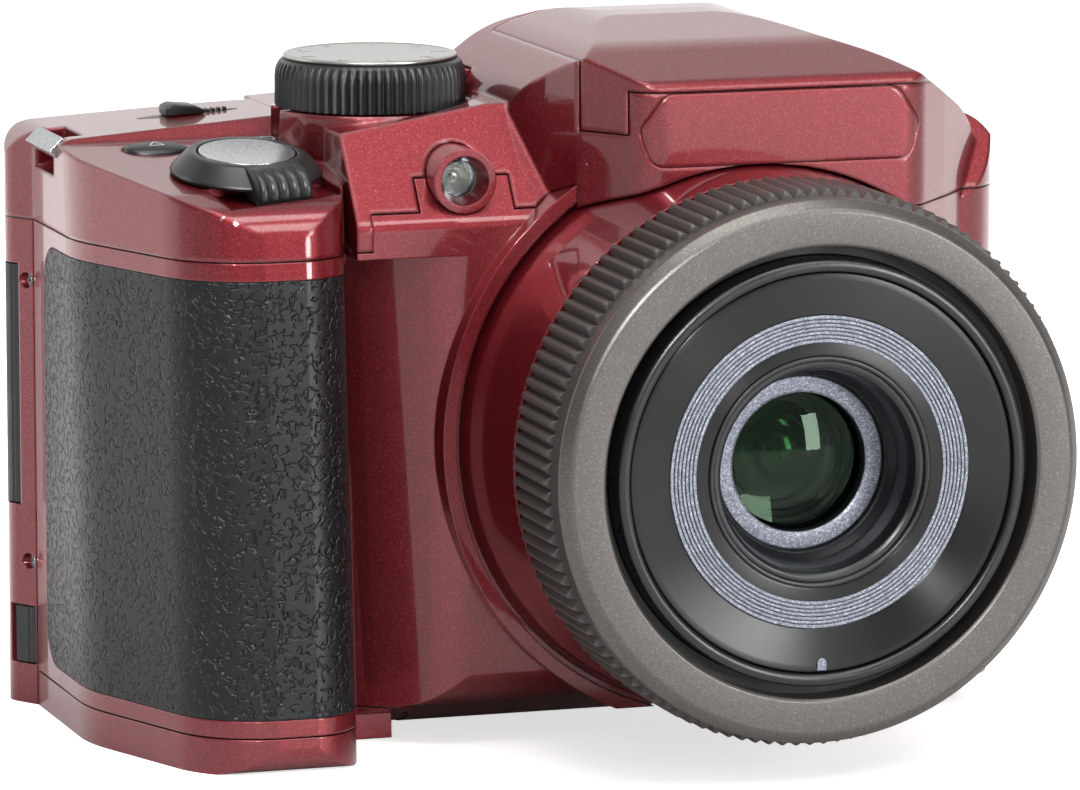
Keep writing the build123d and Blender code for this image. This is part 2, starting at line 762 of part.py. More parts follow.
def dial_boss():
    """The low round step under the mode dial."""
    height = DIAL_BASE - PRESS_GAP - HUMP_BASE
    return rod(DIAL_LIP_RADIUS, (-DIAL_X, -DIAL_Y, HUMP_BASE), UPWARD, height)


def body_form(inset):
    """Everything inside the covers' outer surface."""
    form = grip_form(inset) + main_form(inset) + lamp_block(inset) + hump_form(inset)
    if inset == 0:
        form = form + dial_boss()
    return form - dial_seat()


def shroud():
    """The red collar that stands out of the front cover round the lens."""
    flange = lens_disc(FLANGE_RADIUS, FLANGE_FRONT, BODY_FRONT - WALL)
    flange = flange & block(-REACH, REACH, -REACH, REACH, FLANGE_FOOT, REACH)
    groove = lens_disc(GROOVE_RADIUS, FLANGE_FRONT + OVERRUN, FLANGE_FRONT - GROOVE_DEPTH)
    collar = lens_cone(SHROUD_TIP_RADIUS, SHROUD_BASE_RADIUS, SHROUD_FRONT, BODY_FRONT - WALL)
    return flange - groove + collar


# Where each cover begins and ends

def top_zone(gap):
    grip = block(-REACH, -GRIP_INNER, -REACH, REACH, GRIP_SEAM_HEIGHT + gap, REACH)
    main = block(-GRIP_INNER, REACH, -REACH, REAR_SPLIT, FRONT_SEAM_HEIGHT + gap, REACH)
    rear = block(-GRIP_INNER, REACH, REAR_SPLIT, REACH, GRIP_SEAM_HEIGHT + gap, REACH)
    tab = block(-LAMP_TAB_LEFT - gap, -LAMP_TAB_RIGHT + gap, -REACH, -LAMP_PANEL_TOP_Y,
                0, LAMP_TAB_HEIGHT + gap)
    return grip + main + rear - tab


def door_zone(gap):
    """The bottom of the grip, which the battery door covers."""
    return block(-REACH, -DOOR_HINGE_X, -REACH, DOOR_REAR + gap, -OVERRUN, DOOR_SEAM_HEIGHT + gap)


def screen_face(margin):
    """The window in the rear face, or a smaller opening inside its edge."""
    return rounded_face([
        (-SCREEN_LEFT + margin, SCREEN_FLOOR + margin, SCREEN_CORNER),
        (SCREEN_RIGHT - margin, SCREEN_FLOOR + margin, SCREEN_CORNER),
        (SCREEN_RIGHT - margin, SCREEN_TOP - margin, SCREEN_CORNER),
        (-SCREEN_LEFT + margin, SCREEN_TOP - margin, SCREEN_CORNER),
    ])


def rubber_zone(gap):
    """The part of the grip that the rubber covers, seen from the side."""
    outline = rounded_face([
        (-REACH, RUBBER_FLOOR - gap, 0),
        (RUBBER_BACK + gap, RUBBER_FLOOR - gap, RUBBER_CORNER),
        (RUBBER_BACK + gap, RUBBER_TOP + gap, RUBBER_CORNER),
        (-REACH, RUBBER_TOP + gap, 0),
    ])
    return crosswise(outline, -REACH, -RUBBER_RIGHT + gap)


def flap_zone(front, rear, floor, top, gap):
    """The place of a side flap, with a round edge at its front hinge."""
    zone = block(-REACH, -BODY_LEFT + WALL, front, rear + gap, floor - gap, top + gap)
    return zone + flap_barrel(front, floor - gap, top + gap, gap)


def flap_barrel(front, floor, top, gap):
    return rod(FLAP_THICKNESS / 2 + 2 * gap, (flap_axis_x(front), front, floor), UPWARD, top - floor)


def flap_axis_x(front):
    """The heel slants outwards, and each flap hinges half its thickness below that surface."""
    slant = HEEL_OUT / (HEEL_Y - REAR_SPLIT)
    return -BODY_LEFT - slant * (front - REAR_SPLIT) + FLAP_THICKNESS / 2 + PRESS_GAP


def rear_button_places():
    places = []
    for x in (REAR_BUTTON_LEFT_X, REAR_BUTTON_RIGHT_X):
        for height in (REAR_BUTTON_HIGH, REAR_BUTTON_LOW):
            places.append((-x, height))
    return places


def button_hole(x, height, radius):
    depth = OVERRUN + WALL + OVERRUN / 2
    return rod(radius + PRESS_GAP, (x, BODY_REAR + OVERRUN, height), FORWARD, depth)


SHUTTER_PLANE = Plane(
    origin=(-SHUTTER_X, -SHUTTER_Y, platform_height(-SHUTTER_Y)),
    x_dir=(1, 0, 0),
    z_dir=(0, PLATFORM_FRONT_HEIGHT - PLATFORM_BACK_HEIGHT, PLATFORM_BACK + PLATFORM_FRONT),
)
FLASH_MODE_PLANE = Plane(
    origin=(-FLASH_MODE_X, -FLASH_MODE_Y, platform_height(-FLASH_MODE_Y)),
    x_dir=(1, 0, 0), z_dir=SHUTTER_PLANE.z_dir)
BURST_PLANE = Plane(
    origin=(-BURST_X, -BURST_Y, platform_height(-BURST_Y)),
    x_dir=(1, 0, 0), z_dir=SHUTTER_PLANE.z_dir)
POWER_PLANE = Plane(
    origin=(-POWER_X, POWER_Y, deck_height(-POWER_X)),
    x_dir=(BODY_LEFT + HEEL_OUT - DECK_RIGHT_X, 0, DECK_RIGHT_HEIGHT - DECK_LEFT_HEIGHT),
    z_dir=(DECK_LEFT_HEIGHT - DECK_RIGHT_HEIGHT, 0, BODY_LEFT + HEEL_OUT - DECK_RIGHT_X))


def hood_zone(gap):
    """What lifts with the flash: the top of the hump and its two side wings."""
    front = block(-HOOD_LEFT - gap, HOOD_RIGHT + gap, -REACH, HINGE_Y, HOOD_FLOOR - gap, REACH)
    wing = block(-HOOD_LEFT - gap, -HOOD_WING_RIGHT + gap, -REACH, HINGE_Y, HOOD_WING_FLOOR - gap, REACH)
    heel = rod(HUMP_TOP - HINGE_HEIGHT + gap, (-HOOD_LEFT - gap, HINGE_Y, HINGE_HEIGHT), (1, 0, 0),
               HOOD_LEFT + HOOD_RIGHT + 2 * gap)
    return front + wing + heel


def front_plate_zone(gap):
    """The bare plate on the front of the hump."""
    middle = (FRONT_PLATE_FLOOR + FRONT_PLATE_TOP) / 2
    corner = (FRONT_PLATE_TOP - FRONT_PLATE_FLOOR) / 3
    outline = rounded_face([
        (-FRONT_PLATE_LEFT - gap, middle, EDGE_ROUND),
        (-FRONT_PLATE_LEFT + corner, FRONT_PLATE_TOP + gap, EDGE_ROUND),
        (FRONT_PLATE_RIGHT - corner, FRONT_PLATE_TOP + gap, EDGE_ROUND),
        (FRONT_PLATE_RIGHT + gap, middle, EDGE_ROUND),
        (FRONT_PLATE_RIGHT - corner / 2, FRONT_PLATE_FLOOR - gap, EDGE_ROUND),
        (-FRONT_PLATE_LEFT + corner / 2, FRONT_PLATE_FLOOR - gap, EDGE_ROUND),
    ])
    return lengthwise(outline, -REACH, -HUMP_FRONT + FRONT_PLATE_DEPTH + gap)


BODY_OUTER = body_form(0)
BODY_INNER = body_form(WALL)
SHELL = BODY_OUTER - BODY_INNER
REAR_SPACE = block(-REACH, REACH, REAR_SPLIT, REACH, -OVERRUN, REACH)


# Covers

def rubber_skin(gap):
    """The outermost layer of the grip inside the rubber's outline."""
    skin = grip_form(0) - grip_form(RUBBER_THICKNESS + gap)
    return skin & rubber_zone(gap)


def grip_rubber():
    return rubber_skin(0)


def lamp_bar(radius, gap):
    """The round space that the focus lamp's collar fills."""
    start = (-LAMP_X, -LAMP_COLLAR_FRONT - gap, LAMP_HEIGHT)
    return rod(radius + gap, start, BACKWARD, LAMP_COLLAR_DEPTH + gap)


def front_cover():
    cover = SHELL - top_zone(0) - door_zone(DOOR_GAP) - REAR_SPACE
    cover = cover + shroud() - lens_disc(SHROUD_BORE, SHROUD_FRONT + OVERRUN, 0)
    cover = cover - rubber_skin(TRIM_GAP) - lamp_bar(LAMP_COLLAR_RADIUS, TRIM_GAP)
    cover = cover - door_hinge_space() - corner_well()
    for height in (SIDE_SCREW_HIGH, SIDE_SCREW_LOW):
        cover = cover + screw_tab(height)
    return cover - speaker_holes() - tripod_hole() - screw_holes()


def door_hinge_space():
    """The round groove that the door's edge turns in, open towards the ground."""
    length = REACH + DOOR_REAR + DOOR_GAP
    groove = rod(DOOR_BARREL + DOOR_GAP, (-DOOR_HINGE_X, -REACH, DOOR_HINGE_HEIGHT), BACKWARD, length)
    left = -DOOR_HINGE_X - DOOR_BARREL
    right = -DOOR_HINGE_X + DOOR_HINGE_HEIGHT + DOOR_GAP
    mouth = block(left, right, -REACH, DOOR_REAR + DOOR_GAP, -OVERRUN, DOOR_HINGE_HEIGHT)
    return groove + mouth


def corner_well():
    """The right cell's room in the thick corner where the grip meets the body."""
    start = (-RIGHT_CELL_X, -RIGHT_CELL_Y, CELL_FLOOR)
    return rod(CELL_DIAMETER / 2 + BAY_GAP, start, UPWARD, BAY_TOP - CELL_FLOOR)


def screw_tab(height):
    """A tongue inside the seam that a side screw bites in."""
    left = -BODY_LEFT + WALL
    low = height - SCREW_TAB / 2
    front = BAY_REAR + PRESS_GAP
    tongue = block(left, left + SCREW_TAB_THICKNESS, front, SCREW_TAB_BACK, low, low + SCREW_TAB)
    return tongue + block(left - WALL / 2, left, front, REAR_SPLIT, low, low + SCREW_TAB)


def screw_seats():
    """Where each case screw's head seats, and the way it drives."""
    seats = []
    for height in (SIDE_SCREW_HIGH, SIDE_SCREW_LOW):
        seats.append(((-SIDE_SCREW_SEAT, SIDE_SCREW_Y, height), (1, 0, 0)))
    for side in (-1, 1):
        seats.append(((side * FOOT_SCREW_X, FOOT_SCREW_Y, SCREW_HEAD + SCREW_SINK), UPWARD))
    return seats


def screw_holes():
    holes = Part()
    for seat, direction in screw_seats():
        inward = Vector(*direction)
        mouth = Vector(*seat) - inward * OVERRUN
        holes = holes + rod(SCREW_HEAD_RADIUS + TRIM_GAP, mouth, direction, OVERRUN)
        holes = holes + rod(SCREW_RADIUS + TRIM_GAP, seat, direction, SCREW_LENGTH + TRIM_GAP)
    return holes


def case_screws():
    return [bench_screw(seat, direction) for seat, direction in screw_seats()]


def speaker_holes():
    """A cross of small round holes in the right side."""
    holes = Part()
    for step in range(-2, 3):
        for across, up in ((step, 0), (0, step)):
            place = (BODY_RIGHT - WALL - PRESS_GAP, SPEAKER_Y + across * SPEAKER_HOLE_PITCH,
                     SPEAKER_HEIGHT + up * SPEAKER_HOLE_PITCH)
            holes = holes + rod(SPEAKER_HOLE_RADIUS, place, (1, 0, 0), WALL + OVERRUN)
    return holes


def tripod_hole():
    return rod(SOCKET_BUSH_RADIUS + TRIM_GAP, (0, 0, -OVERRUN), UPWARD, OVERRUN + WALL + PRESS_GAP)


def rear_cover():
    cover = (SHELL & REAR_SPACE) - top_zone(0)
    cover = cover - block(-REACH, REACH, 0, REAR_SPLIT + SEAM_GAP, -OVERRUN, REACH)
    pocket = lengthwise(screen_face(-TRIM_GAP), BODY_REAR - SCREEN_GLASS, REACH)
    window = lengthwise(screen_face(PANEL_MARGIN), 0, REACH)
    cover = cover - pocket - window
    for x, height in rear_button_places():
        cover = cover - button_hole(x, height, REAR_BUTTON_RADIUS)
    cover = cover - button_hole(-VIDEO_BUTTON_X, VIDEO_BUTTON_HEIGHT, VIDEO_BUTTON_RADIUS)
    cover = cover - button_hole(-PAD_X, PAD_HEIGHT, PAD_RADIUS)
    cover = cover - thumb_pad_form(TRIM_GAP)
    cover = cover - flap_zone(USB_FRONT, USB_REAR, USB_FLOOR, USB_TOP, PRESS_GAP)
    cover = cover - flap_zone(DC_FRONT, DC_REAR, DC_FLOOR, DC_TOP, PRESS_GAP)
    return cover - screw_holes()


def thumb_pad_form(gap):
    """A soft pad sunk half its thickness into the rear face."""
    outline = rounded_face([
        (-THUMB_LEFT - gap, THUMB_FLOOR - gap, THUMB_ROUND),
        (-THUMB_RIGHT + gap, THUMB_FLOOR - gap, THUMB_ROUND),
        (-THUMB_RIGHT + gap, THUMB_TOP + gap, THUMB_ROUND),
        (-THUMB_LEFT - gap, THUMB_TOP + gap, THUMB_ROUND),
    ])
    return lengthwise(outline, BODY_REAR - WALL / 2 - gap, BODY_REAR + THUMB_STAND)


def thumb_rest():
    return thumb_pad_form(0)


def scoop(side, radius, spread):
    """The hollow in a shoulder that a strap passes through, under its bar."""
    x, height = shoulder_point(side)
    start = (x, LUG_Y - LUG_TUNNEL / 2 - spread, height)
    return rod(radius, start, BACKWARD, LUG_TUNNEL + 2 * spread)


def shoulder_point(side):
    """A point just inside the rounded shoulder that each strap bar lies along."""
    if side < 0:
        x = -BODY_LEFT + LUG_INSET
        across = BODY_LEFT + HEEL_OUT - SHOULDER_ROUND - BODY_LEFT + LUG_INSET
        centre_height = DECK_LEFT_HEIGHT - SHOULDER_ROUND
    else:
        across = (SHOULDER_ROUND - LUG_INSET) * math.sqrt(0.5)
        x = BODY_RIGHT - SHOULDER_ROUND + across
        centre_height = RIGHT_SHOULDER_HEIGHT - SHOULDER_ROUND
    return x, centre_height + math.sqrt((SHOULDER_ROUND - LUG_INSET) ** 2 - across ** 2)


def lug_bar(side, gap):
    """A flat bar along the shoulder, set at half a right angle."""
    x, height = shoulder_point(side)
    place = Pos(x, LUG_Y, height) * Rot(0, side * 45, 0)
    return place * Box(LUG_WIDTH + 2 * gap, LUG_TUNNEL + 2 * LUG_GRIP + 2 * gap, LUG_THICKNESS + 2 * gap)


def soffit_cone(gap):
    """The underside of the hump, which follows the lens collar."""
    return lens_cone(SHROUD_TIP_RADIUS + gap, SHROUD_BASE_RADIUS + gap, SHROUD_FRONT, BODY_FRONT - WALL)


def top_cover():
    zone = top_zone(SEAM_GAP)
    soffit = soffit_cone(SOFFIT_GAP + WALL) & hump_form(0)
    cover = (SHELL & zone) + (soffit & zone)
    for side in (-1, 1):
        liner = scoop(side, SCOOP_RADIUS + SCOOP_WALL, SCOOP_WALL + LUG_GRIP) & BODY_INNER & zone
        cover = cover + liner
    cover = cover - hood_zone(SEAM_GAP) + flash_well() + hinge_posts() - front_plate_zone(TRIM_GAP)
    cover = cover - soffit_cone(SOFFIT_GAP)
    flange_rear = BODY_FRONT - WALL - TRIM_GAP
    cover = cover - lens_disc(FLANGE_RADIUS + TRIM_GAP, FLANGE_FRONT + TRIM_GAP, flange_rear)
    for side in (-1, 1):
        cover = cover - scoop(side, SCOOP_RADIUS, 0) - lug_bar(side, TRIM_GAP)
    cover = cover - rod(DIAL_SHAFT_RADIUS + RUN_GAP, (-DIAL_X, -DIAL_Y, 0), UPWARD, REACH)
    cover = cover - SHUTTER_PLANE * Cylinder(LEVER_HUB_RADIUS + RUN_GAP, OVERRUN)
    cover = cover - lever_pocket()
    for plane in (FLASH_MODE_PLANE, BURST_PLANE):
        cover = cover - plane * oval(PRESS_GAP, -OVERRUN / 2, OVERRUN)
    cover = cover - power_slot() - lamp_bar(LAMP_COLLAR_RADIUS, TRIM_GAP)
    return cover - release_bar(PRESS_GAP, RELEASE_TRAVEL)


def flash_well():
    """The floor and rear wall of the space that the folded flash lies in."""
    top = FLASH_CASE_FLOOR - WELL_CLEARANCE
    rear = HINGE_Y + HUMP_TOP - HINGE_HEIGHT
    floor = block(-REACH, REACH, -REACH, rear, top - WALL / 2, top)
    wall = block(-REACH, REACH, rear, rear + WALL / 2, top - WALL / 2, REACH)
    return (floor + wall) & hump_form(WALL - PRESS_GAP)


def hinge_places(inner):
    """The left ends of the two hood ears, or of the two fixed ears beside them."""
    left = -HINGE_LEFT
    right = HINGE_RIGHT - HINGE_EAR_WIDTH
    if inner:
        return (left + HINGE_EAR_WIDTH + RUN_GAP, right - HINGE_EAR_WIDTH - RUN_GAP)
    return (left, right)


def hinge_ear(left, foot, head):
    """An ear round the hinge pin with a web to what carries it."""
    knuckle = rod(HINGE_KNUCKLE_RADIUS, (left, HINGE_Y, HINGE_HEIGHT), (1, 0, 0), HINGE_EAR_WIDTH)
    front = HINGE_Y - HINGE_PIN_RADIUS
    rear = HINGE_Y + HINGE_PIN_RADIUS
    web = block(left, left + HINGE_EAR_WIDTH, front, rear, foot, head)
    start = (left - OVERRUN, HINGE_Y, HINGE_HEIGHT)
    bore = rod(HINGE_PIN_RADIUS + RUN_GAP, start, (1, 0, 0), 2 * OVERRUN)
    return knuckle + web - bore


def hinge_posts():
    posts = Part()
    for left in hinge_places(True):
        posts = posts + hinge_ear(left, FLASH_CASE_FLOOR - WELL_CLEARANCE - WALL / 2, HINGE_HEIGHT)
    return posts


def hinge_pin():
    start = hinge_places(False)[0]
    end = hinge_places(False)[1] + HINGE_EAR_WIDTH
    return rod(HINGE_PIN_RADIUS, (start, HINGE_Y, HINGE_HEIGHT), (1, 0, 0), end - start)


def flash_hood():
    hood = (hump_form(0) - hump_form(HOOD_WALL)) & hood_zone(0)
    ears = Part()
    for left in hinge_places(False):
        ears = ears + hinge_ear(left, HINGE_HEIGHT, HUMP_TOP)
    return hood + (ears & hump_form(HOOD_WALL / 2))


def flash_case_form(inset):
    """The flash lamp's housing, with a front that stands upright once the hood is open."""
    lean = (FLASH_CASE_TOP - FLASH_CASE_FLOOR) * math.tan(math.radians(HOOD_OPENING))
    side = rounded_face([
        (-FLASH_CASE_REAR, FLASH_CASE_FLOOR, 0),
        (-FLASH_CASE_REAR, FLASH_CASE_TOP, 0),
        (-FLASH_CASE_FRONT, FLASH_CASE_TOP, 0),
        (-FLASH_CASE_FRONT + lean, FLASH_CASE_FLOOR, 0),
    ], inset)
    return crosswise(side, -FLASH_CASE_LEFT + inset, FLASH_CASE_RIGHT - inset)


def flash_case():
    """The housing with an open front, and two posts up to the hood."""
    posts = Part()
    for x in (-FLASH_CASE_LEFT / 2, FLASH_CASE_RIGHT / 2):
        start = (x, -FLASH_CASE_REAR - HINGE_EAR_WIDTH, FLASH_CASE_TOP - FLASH_CASE_WALL / 2)
        posts = posts + rod(HINGE_KNUCKLE_RADIUS, start, UPWARD, REACH)
    hollow = flash_case_form(FLASH_CASE_WALL)
    case = flash_case_form(0) - hollow - Pos(0, -2 * FLASH_CASE_WALL, 0) * hollow
    return (case + posts) & hump_form(HOOD_WALL + TRIM_GAP)


def flash_window():
    hollow = flash_case_form(FLASH_CASE_WALL + TRIM_GAP)
    return Pos(0, -FLASH_WINDOW_THICKNESS, 0) * hollow - hollow


def flash_tube():
    middle = (FLASH_CASE_FLOOR + FLASH_CASE_TOP) / 2
    inset = FLASH_CASE_WALL + TRIM_GAP
    start = (-FLASH_CASE_LEFT + inset, -FLASH_CASE_REAR - 3 * FLASH_TUBE_RADIUS, middle)
    return rod(FLASH_TUBE_RADIUS, start, (1, 0, 0), FLASH_CASE_LEFT + FLASH_CASE_RIGHT - 2 * inset)


def release_bar(gap, travel):
    """The flash release button in the left flank of the hump."""
    left = -HUMP_LEFT - RELEASE_STAND
    return block(left - gap, -HUMP_LEFT + RELEASE_DEPTH + gap + travel,
                 RELEASE_Y - RELEASE_LENGTH / 2 - gap, RELEASE_Y + RELEASE_LENGTH / 2 + gap,
                 RELEASE_HEIGHT - RELEASE_TALL / 2 - gap, RELEASE_HEIGHT + RELEASE_TALL / 2 + gap)


def flash_release():
    return release_bar(0, 0)


def front_plate():
    return (hump_form(0) & front_plate_zone(0)) - hump_form(FRONT_PLATE_DEPTH)


# Controls on top

def oval(gap, low, height):
    face = Ellipse(TOP_BUTTON_LENGTH / 2 + gap, TOP_BUTTON_WIDTH / 2 + gap)
    return extrude(Plane.XY.offset(low) * face, height, dir=(0, 0, 1))


def top_button(plane):
    """An oval cap with a flange under the deck."""
    cap = oval(0, -TOP_BUTTON_DEPTH, TOP_BUTTON_DEPTH + TOP_BUTTON_STAND)
    flange = oval(REAR_BUTTON_FLANGE, -TOP_BUTTON_DEPTH, TOP_BUTTON_DEPTH - WALL - TRIM_GAP)
    return plane * (cap + flange)


def lever_pocket():
    """The notch in the brow that lets the lever's finger tab swing."""
    swing = math.radians(LEVER_SWING)
    half = LEVER_TAB_REACH * math.sin(swing) + LEVER_TAB_WIDTH / 2 + WELL_CLEARANCE
    reach = LEVER_TAB_REACH + WELL_CLEARANCE
    notch = block(-half, half, -reach, -LEVER_HUB_RADIUS, -LEVER_POCKET_DEPTH, LEVER_TAB_HEIGHT)
    return SHUTTER_PLANE * Rot(0, 0, LEVER_TAB_TURN) * notch


def lever_tab():
    """A finger tab with upright ribs on its front edge."""
    low = LEVER_SEAT - LEVER_POCKET_DEPTH
    half = LEVER_TAB_WIDTH / 2
    body = block(-half, half, -LEVER_TAB_REACH, -SHUTTER_RADIUS - PRESS_GAP, low, low + LEVER_TAB_HEIGHT)
    pitch = LEVER_TAB_WIDTH / LEVER_RIBS
    for index in range(LEVER_RIBS + 1):
        groove = rod(LEVER_RIB_DEPTH, (pitch * index - half, -LEVER_TAB_REACH, -LEVER_TAB_HEIGHT), UPWARD,
                     3 * LEVER_TAB_HEIGHT)
        body = body - groove
    return Rot(0, 0, LEVER_TAB_TURN) * body


def zoom_lever():
    """A cone-sided ring round the shutter button, on a hub that turns in the cover."""
    upward = (Align.CENTER, Align.CENTER, Align.MIN)
    ring = Pos(0, 0, LEVER_SEAT) * Cone(LEVER_RADIUS, LEVER_TOP_RADIUS, LEVER_HEIGHT, align=upward)
    hub = rod(LEVER_HUB_RADIUS, (0, 0, -LEVER_HUB_LENGTH), UPWARD, LEVER_HUB_LENGTH + LEVER_SEAT)
    floor = LEVER_SEAT + LEVER_HEIGHT - SHUTTER_CAP - SHUTTER_TRAVEL - TRIM_GAP
    dish = rod(SHUTTER_RADIUS + PRESS_GAP, (0, 0, floor), UPWARD, REACH)
    bore = rod(SHUTTER_STEM_RADIUS + RUN_GAP, (0, 0, -REACH), UPWARD, 2 * REACH)
    return SHUTTER_PLANE * (ring + lever_tab() + hub - dish - bore)


def shutter_button():
    """A shallow dished cap on a long stem."""
    top = LEVER_HEIGHT + LEVER_SEAT
    cap = Pos(0, 0, top - SHUTTER_CAP) * Cylinder(SHUTTER_RADIUS, SHUTTER_CAP,
                                                 align=(Align.CENTER, Align.CENTER, Align.MIN))
    curve = (SHUTTER_RADIUS ** 2 + SHUTTER_DISH ** 2) / (2 * SHUTTER_DISH)
    cap = cap - Pos(0, 0, top + curve - SHUTTER_DISH) * Sphere(curve)
    stem_length = SHUTTER_STEM_LENGTH + SHUTTER_CAP / 2
    stem = Cylinder(SHUTTER_STEM_RADIUS, stem_length, align=(Align.CENTER, Align.CENTER, Align.MIN))
    stem = Pos(0, 0, top - SHUTTER_CAP - SHUTTER_STEM_LENGTH) * stem
    return SHUTTER_PLANE * (cap + stem)


def power_slot():
    length = POWER_STEM_LENGTH + POWER_TRAVEL + 2 * PRESS_GAP
    slot = Pos(-POWER_TRAVEL / 2, 0, 0) * Box(length, POWER_SLOT_WIDTH, OVERRUN)
    return POWER_PLANE * slot


def power_slider():
    """A knob on the deck, with a stem down to a foot that cannot lift out."""
    half_length = POWER_KNOB_LENGTH / 2
    half_width = POWER_KNOB_WIDTH / 2
    knob = block(-half_length, half_length, -half_width, half_width, TRIM_GAP, POWER_KNOB_HEIGHT)
    foot_top = -WALL - PRESS_GAP
    half_length = POWER_STEM_LENGTH / 2
    half_width = POWER_STEM_WIDTH / 2
    stem = block(-half_length, half_length, -half_width, half_width, foot_top, TRIM_GAP)
    half_length = POWER_FOOT_LENGTH / 2
    half_width = POWER_FOOT_WIDTH / 2
    foot_low = foot_top - POWER_FOOT_HEIGHT
    foot = block(-half_length, half_length, -half_width, half_width, foot_low, foot_top)
    return POWER_PLANE * (knob + stem + foot)


def mode_dial():
    """A toothed drum with a plain lip at its foot and a shaft into the deck."""
    place = Pos(-DIAL_X, -DIAL_Y, DIAL_BASE)
    lip = Cylinder(DIAL_LIP_RADIUS, DIAL_LIP_HEIGHT, align=(Align.CENTER, Align.CENTER, Align.MIN))
    drum = extrude(toothed_face(DIAL_RADIUS + DIAL_TOOTH, DIAL_TOOTH, DIAL_TEETH), DIAL_TOP - DIAL_BASE,
                   dir=(0, 0, 1))
    recess = Pos(0, 0, DIAL_TOP - DIAL_BASE - DIAL_CAP_SINK) * Cylinder(
        DIAL_CAP_RADIUS + TRIM_GAP, REACH, align=(Align.CENTER, Align.CENTER, Align.MIN))
    shaft = Cylinder(DIAL_SHAFT_RADIUS, DIAL_SHAFT_LENGTH, align=(Align.CENTER, Align.CENTER, Align.MAX))
    return place * (lip + drum - recess + shaft)


def dial_cap():
    place = Pos(-DIAL_X, -DIAL_Y, DIAL_TOP - DIAL_CAP_SINK)
    return place * Cylinder(DIAL_CAP_RADIUS, DIAL_CAP_SINK + DIAL_CAP_HEIGHT,
                            align=(Align.CENTER, Align.CENTER, Align.MIN))


def lamp_collar():
    collar = lamp_bar(LAMP_COLLAR_RADIUS, 0)
    start = (-LAMP_X, -LAMP_COLLAR_FRONT, LAMP_HEIGHT)
    mouth = taper(LAMP_COLLAR_RADIUS - LAMP_RIM, LAMP_WINDOW_RADIUS, start, BACKWARD, LAMP_CONE_DEPTH)
    return collar - mouth - lamp_bar(LAMP_WINDOW_RADIUS, TRIM_GAP)


def lamp_window():
    start = (-LAMP_X, -LAMP_COLLAR_FRONT + LAMP_CONE_DEPTH, LAMP_HEIGHT)
    return rod(LAMP_WINDOW_RADIUS, start, BACKWARD, LAMP_WINDOW_DEPTH)


# Lens

def lens_tube():
    """The fixed tube, clamped behind the front cover's wall by its foot."""
    tube = lens_disc(TUBE_RADIUS, TUBE_FRONT, TUBE_REAR)
    foot = lens_disc(TUBE_FOOT_RADIUS, BODY_FRONT - WALL, BODY_FRONT - WALL - TUBE_FOOT) & main_form(WALL)
    return tube + foot - lens_disc(BARREL_RADIUS + RUN_GAP, TUBE_FRONT + OVERRUN, TUBE_REAR - OVERRUN)


def knurled_ring():
    plane = Plane(origin=(0, -KNURL_REAR, LENS_HEIGHT), x_dir=(1, 0, 0), z_dir=FORWARD)
    face = toothed_face(KNURL_RADIUS, KNURL_TOOTH, KNURL_TEETH)
    ring = extrude(plane * face, KNURL_FRONT - KNURL_REAR, dir=FORWARD)
    return ring - lens_disc(TUBE_RADIUS + TRIM_GAP, KNURL_FRONT + OVERRUN, KNURL_REAR - OVERRUN)


def front_ring():
    """The smooth trim ring in front of the knurl, with a chamfered outer edge."""
    band = lens_disc(RING_RADIUS, RING_FRONT - RING_CHAMFER, KNURL_FRONT)
    nose = lens_cone(RING_RADIUS - RING_CHAMFER, RING_RADIUS, RING_FRONT, RING_FRONT - RING_CHAMFER)
    bore = lens_disc(RING_BORE, RING_FRONT + OVERRUN, TUBE_REAR)
    return band + nose - bore


def outer_barrel():
    rear = BARREL_FRONT - BARREL_LENGTH
    return lens_ring(BARREL_RADIUS, BARREL_RADIUS - BARREL_WALL, BARREL_FRONT, rear)


def inner_barrel():
    """The front face with fine circular ribs, on a tube that slides in the outer barrel."""
    radius = BARREL_RADIUS - BARREL_WALL - RUN_GAP
    tube = lens_ring(radius, radius - INNER_WALL, INNER_FRONT, INNER_FRONT - INNER_LENGTH)
    face = lens_disc(radius, INNER_FRONT, INNER_FRONT - INNER_FACE)
    face_rear = INNER_FRONT - INNER_FACE
    spigot = lens_disc(INNER_BORE + INNER_WALL, face_rear, face_rear - INNER_SPIGOT_DEPTH)
    barrel = tube + face + spigot - lens_disc(INNER_BORE, INNER_FRONT + OVERRUN, INNER_FRONT - OVERRUN)
    barrel = barrel - lens_cone(radius - BARREL_WALL, RIB_OUTER, INNER_FRONT, INNER_FRONT - FACE_SLOPE)
    pitch = (RIB_OUTER - RIB_INNER) / RIB_COUNT
    floor = INNER_FRONT - FACE_SLOPE
    for index in range(RIB_COUNT):
        outer = RIB_OUTER - pitch * index
        barrel = barrel - lens_ring(outer, outer - pitch / 2, floor, floor - RIB_DEPTH)
    return barrel


def front_cell():
    """The dark cone in the middle that carries the front glass."""
    cell = lens_disc(CELL_RADIUS, CELL_FRONT, CELL_REAR)
    cell = cell - lens_cone(CELL_MOUTH, ANNULUS_RADIUS, CELL_FRONT, CELL_SEAT)
    cell = cell - lens_disc(GLASS_RADIUS + TRIM_GAP, CELL_FRONT, CELL_REAR + GLASS_SEAT)
    return cell - lens_disc(GLASS_RADIUS - GLASS_SEAT, CELL_FRONT, CELL_REAR - OVERRUN)


def dome_glass(radius, front, edge, dome):
    """A lens with a bulged front and a flat back."""
    curve = (radius ** 2 + dome ** 2) / (2 * dome)
    centre = (0, -front - dome + curve, LENS_HEIGHT)
    ball = Pos(*centre) * Sphere(curve)
    return (ball & lens_disc(radius, front + OVERRUN, front)) + lens_disc(radius, front, front - edge)


def front_glass():
    edge = GLASS_FRONT - GLASS_DOME - CELL_REAR - GLASS_SEAT
    return dome_glass(GLASS_RADIUS, GLASS_FRONT - GLASS_DOME, edge, GLASS_DOME)


